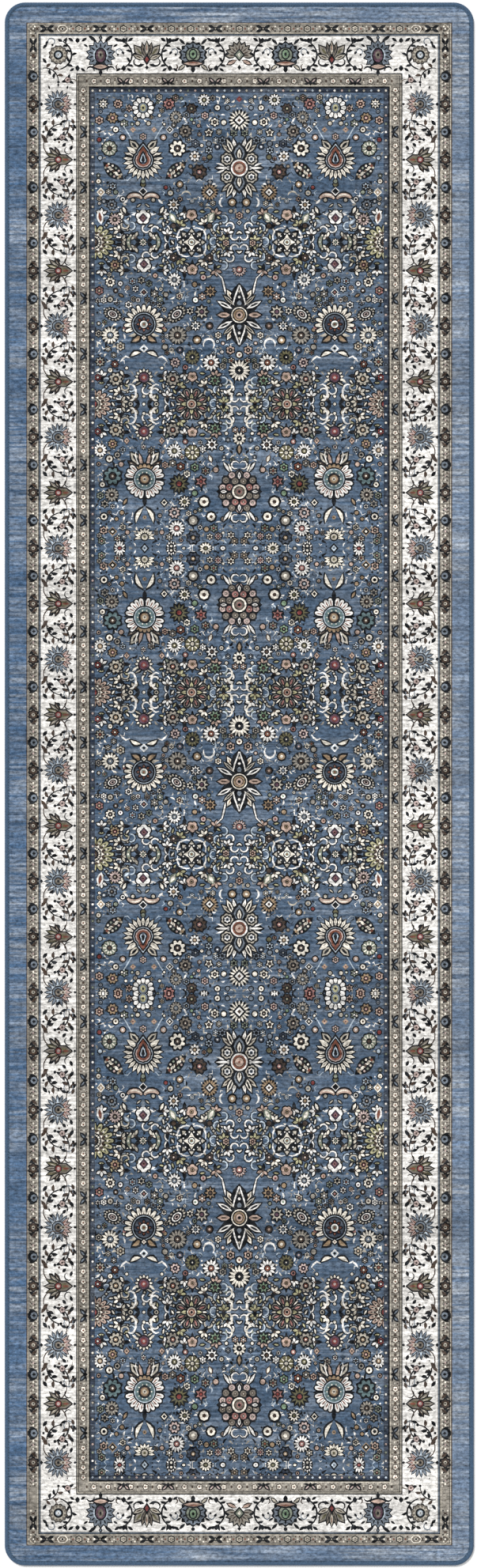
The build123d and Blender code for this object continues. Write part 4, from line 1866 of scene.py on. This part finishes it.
def pile_material():
    n = Nodes("printed_pile")
    yarn = n.add("ShaderNodeAttribute", attribute_name="yarn")
    bareness = yarn.outputs["Alpha"]
    # light and dark streaks across the rug: fine, broad and slow ones
    fine = n.noise((9.0, 230, 1), 0.72, 1.28, detail=3.0, width=0.34)
    broad = n.noise((0.9, 22, 1), 0.88, 1.14, roughness=0.5, width=0.34)
    slow = n.noise((0.6, 4.5, 1), 0.90, 1.10, detail=1.0, roughness=0.5)
    # short pale and dark flecks, as the pile's rows show them
    flecks = n.noise((170, 300, 1), 0.52, 1.50)
    grain = n.noise((620, 620, 1), 0.84, 1.16, detail=1.0, roughness=0.5)
    shade = n.times(fine, broad, slow, flecks, grain)
    # where the print is worn the colours drift towards a cool grey, most of all in the bare blue
    worn = n.noise((130, 190, 1), 0.0, 0.07, detail=3.0, width=0.30)
    rubbed = n.noise((13.0, 230, 1), 0.0, 0.80, detail=4.0, roughness=0.65, width=0.20)
    patches = n.noise((9, 16, 1), 0.1, 1.0, detail=3.0, width=0.30)
    bare = n.times(rubbed, patches, bareness)
    # the bare blue is paler towards the right
    places = n.add("ShaderNodeSeparateXYZ")
    n.join(n.place((1, 1, 1)), places.inputs[0])
    rightward = n.spread(places.outputs["X"], -0.26, 0.28, 0.0, 0.21)
    bare = n.maths("ADD", bare, n.times(rightward, n.maths("POWER", bareness, 3.0)))
    faded = n.mix(n.maths("ADD", worn, bare), yarn.outputs["Color"], linear(WORN_GREY) + [1.0])
    n.join(n.brighten(faded, shade), n.shader.inputs["Base Color"])
    rows = n.add("ShaderNodeTexWave", wave_type="BANDS", bands_direction="Y")
    rows.inputs["Scale"].default_value = 95
    rows.inputs["Distortion"].default_value = 1.6
    rows.inputs["Detail"].default_value = 1.0
    source = n.add("ShaderNodeTexCoord")
    n.join(source.outputs["Object"], rows.inputs["Vector"])
    tufts = n.noise((900, 700, 300), 0.0, 1.0, width=0.5)
    n.bump(n.maths("ADD", n.times(rows.outputs["Fac"], 0.5), tufts), 0.00030, 0.55)
    return n.finish(0.95, 0.05, 0.04)


def yarn_material(name, colour, scale):
    """A twisted yarn: its colour in light and dark strands, with a fine fibre bump."""
    n = Nodes(name)
    n.colour(colour, n.noise((scale, scale, scale), 0.72, 1.22, detail=3.0))
    fine = scale * 2.2
    n.bump(n.noise((fine, fine, fine), 0.0, 1.0, width=0.5), 0.00015, 0.6)
    return n.finish(0.9, 0.15, 0.15)


def felt_material(colour):
    n = Nodes("needled_felt")
    fibres = n.noise((240, 620, 400), 0.65, 1.25, detail=4.0, roughness=0.7)
    n.colour(colour, fibres)
    n.bump(fibres, 0.0002, 0.5)
    return n.finish(0.95, 0.1, 0.1)


def rubber_material(name, colour, roughness):
    n = Nodes(name)
    n.colour(colour, n.noise((60, 60, 60), 0.86, 1.12, detail=3.0))
    n.bump(n.noise((1500, 1500, 1500), 0.0, 1.0, roughness=0.5, width=0.5), 0.00006, 0.5)
    return n.finish(roughness, 0.3)


def floor_material():
    n = Nodes("pale_floor")
    n.shader.inputs["Base Color"].default_value = (0.93, 0.93, 0.93, 1.0)
    n.shader.inputs["Emission Color"].default_value = (1.0, 1.0, 1.0, 1.0)
    n.shader.inputs["Emission Strength"].default_value = 0.12
    return n.finish(0.9, 0.1)


# ---------------------------------------------------------------- the pieces

cloth = printed_cloth(pile_material())
edge = overlocked_edge(yarn_material("edge_yarn", (70, 94, 120), 420))
stitches = needle_stitches(yarn_material("needle_thread", (96, 118, 142), 700))
latex = slab("latex_film", LATEX_LOW[2], LATEX_HIGH[2], rubber_material("latex", (205, 197, 176), 0.6))
felt = slab("felt_sheet", FELT_LOW[2], FELT_HIGH[2], felt_material((158, 156, 150)))
backing = grip_backing(rubber_material("grip_rubber", (88, 90, 94), 0.75))

for piece, node in (
    (cloth, "pile_cloth"),
    (edge, "edge_yarn"),
    (stitches, "needle_thread"),
    (latex, "latex_coat"),
    (felt, "felt_core"),
    (backing, "grip_backing"),
):
    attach(piece, "root")
    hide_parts(node)

# ---------------------------------------------------------------- floor, light and camera


def make_floor():
    reach = 12000
    corners = [(-reach, -reach, 0), (reach, -reach, 0), (reach, reach, 0), (-reach, reach, 0)]
    return new_object("floor", corners, [(0, 1, 2, 3)], floor_material(), smooth=False)


def make_sun(name, strength, tilt, heading, angle):
    light = bpy.data.lights.new(name, "SUN")
    light.energy = strength
    light.angle = math.radians(angle)
    lamp = bpy.data.objects.new(name, light)
    lamp.rotation_euler = (math.radians(tilt), 0, math.radians(heading))
    bpy.context.scene.collection.objects.link(lamp)


def make_world(strength):
    world = bpy.data.worlds.new("soft_daylight")
    world.use_nodes = True
    world.node_tree.nodes["Background"].inputs["Color"].default_value = (1, 1, 1, 1)
    world.node_tree.nodes["Background"].inputs["Strength"].default_value = strength
    bpy.context.scene.world = world


def make_camera():
    """Straight above, far enough for the frame to take in the rug and a thin margin of floor."""
    data = bpy.data.cameras.new("camera")
    data.lens = 100
    data.sensor_width = 36
    data.clip_end = 100
    floor_seen, sideways = 5.6, -1.0
    seen_length = (2 * HALF_LENGTH + floor_seen) * MM
    distance = seen_length / 2 * data.lens / (data.sensor_width / 2)
    camera = bpy.data.objects.new("camera", data)
    camera.location = (sideways * MM, 0.0, TOP * MM + distance)
    bpy.context.scene.collection.objects.link(camera)
    bpy.context.scene.camera = camera


make_floor()
make_sun("key", 2.2, 38, -150, 12)
make_world(0.5)
make_camera()
bpy.context.scene.view_settings.view_transform = "Standard"
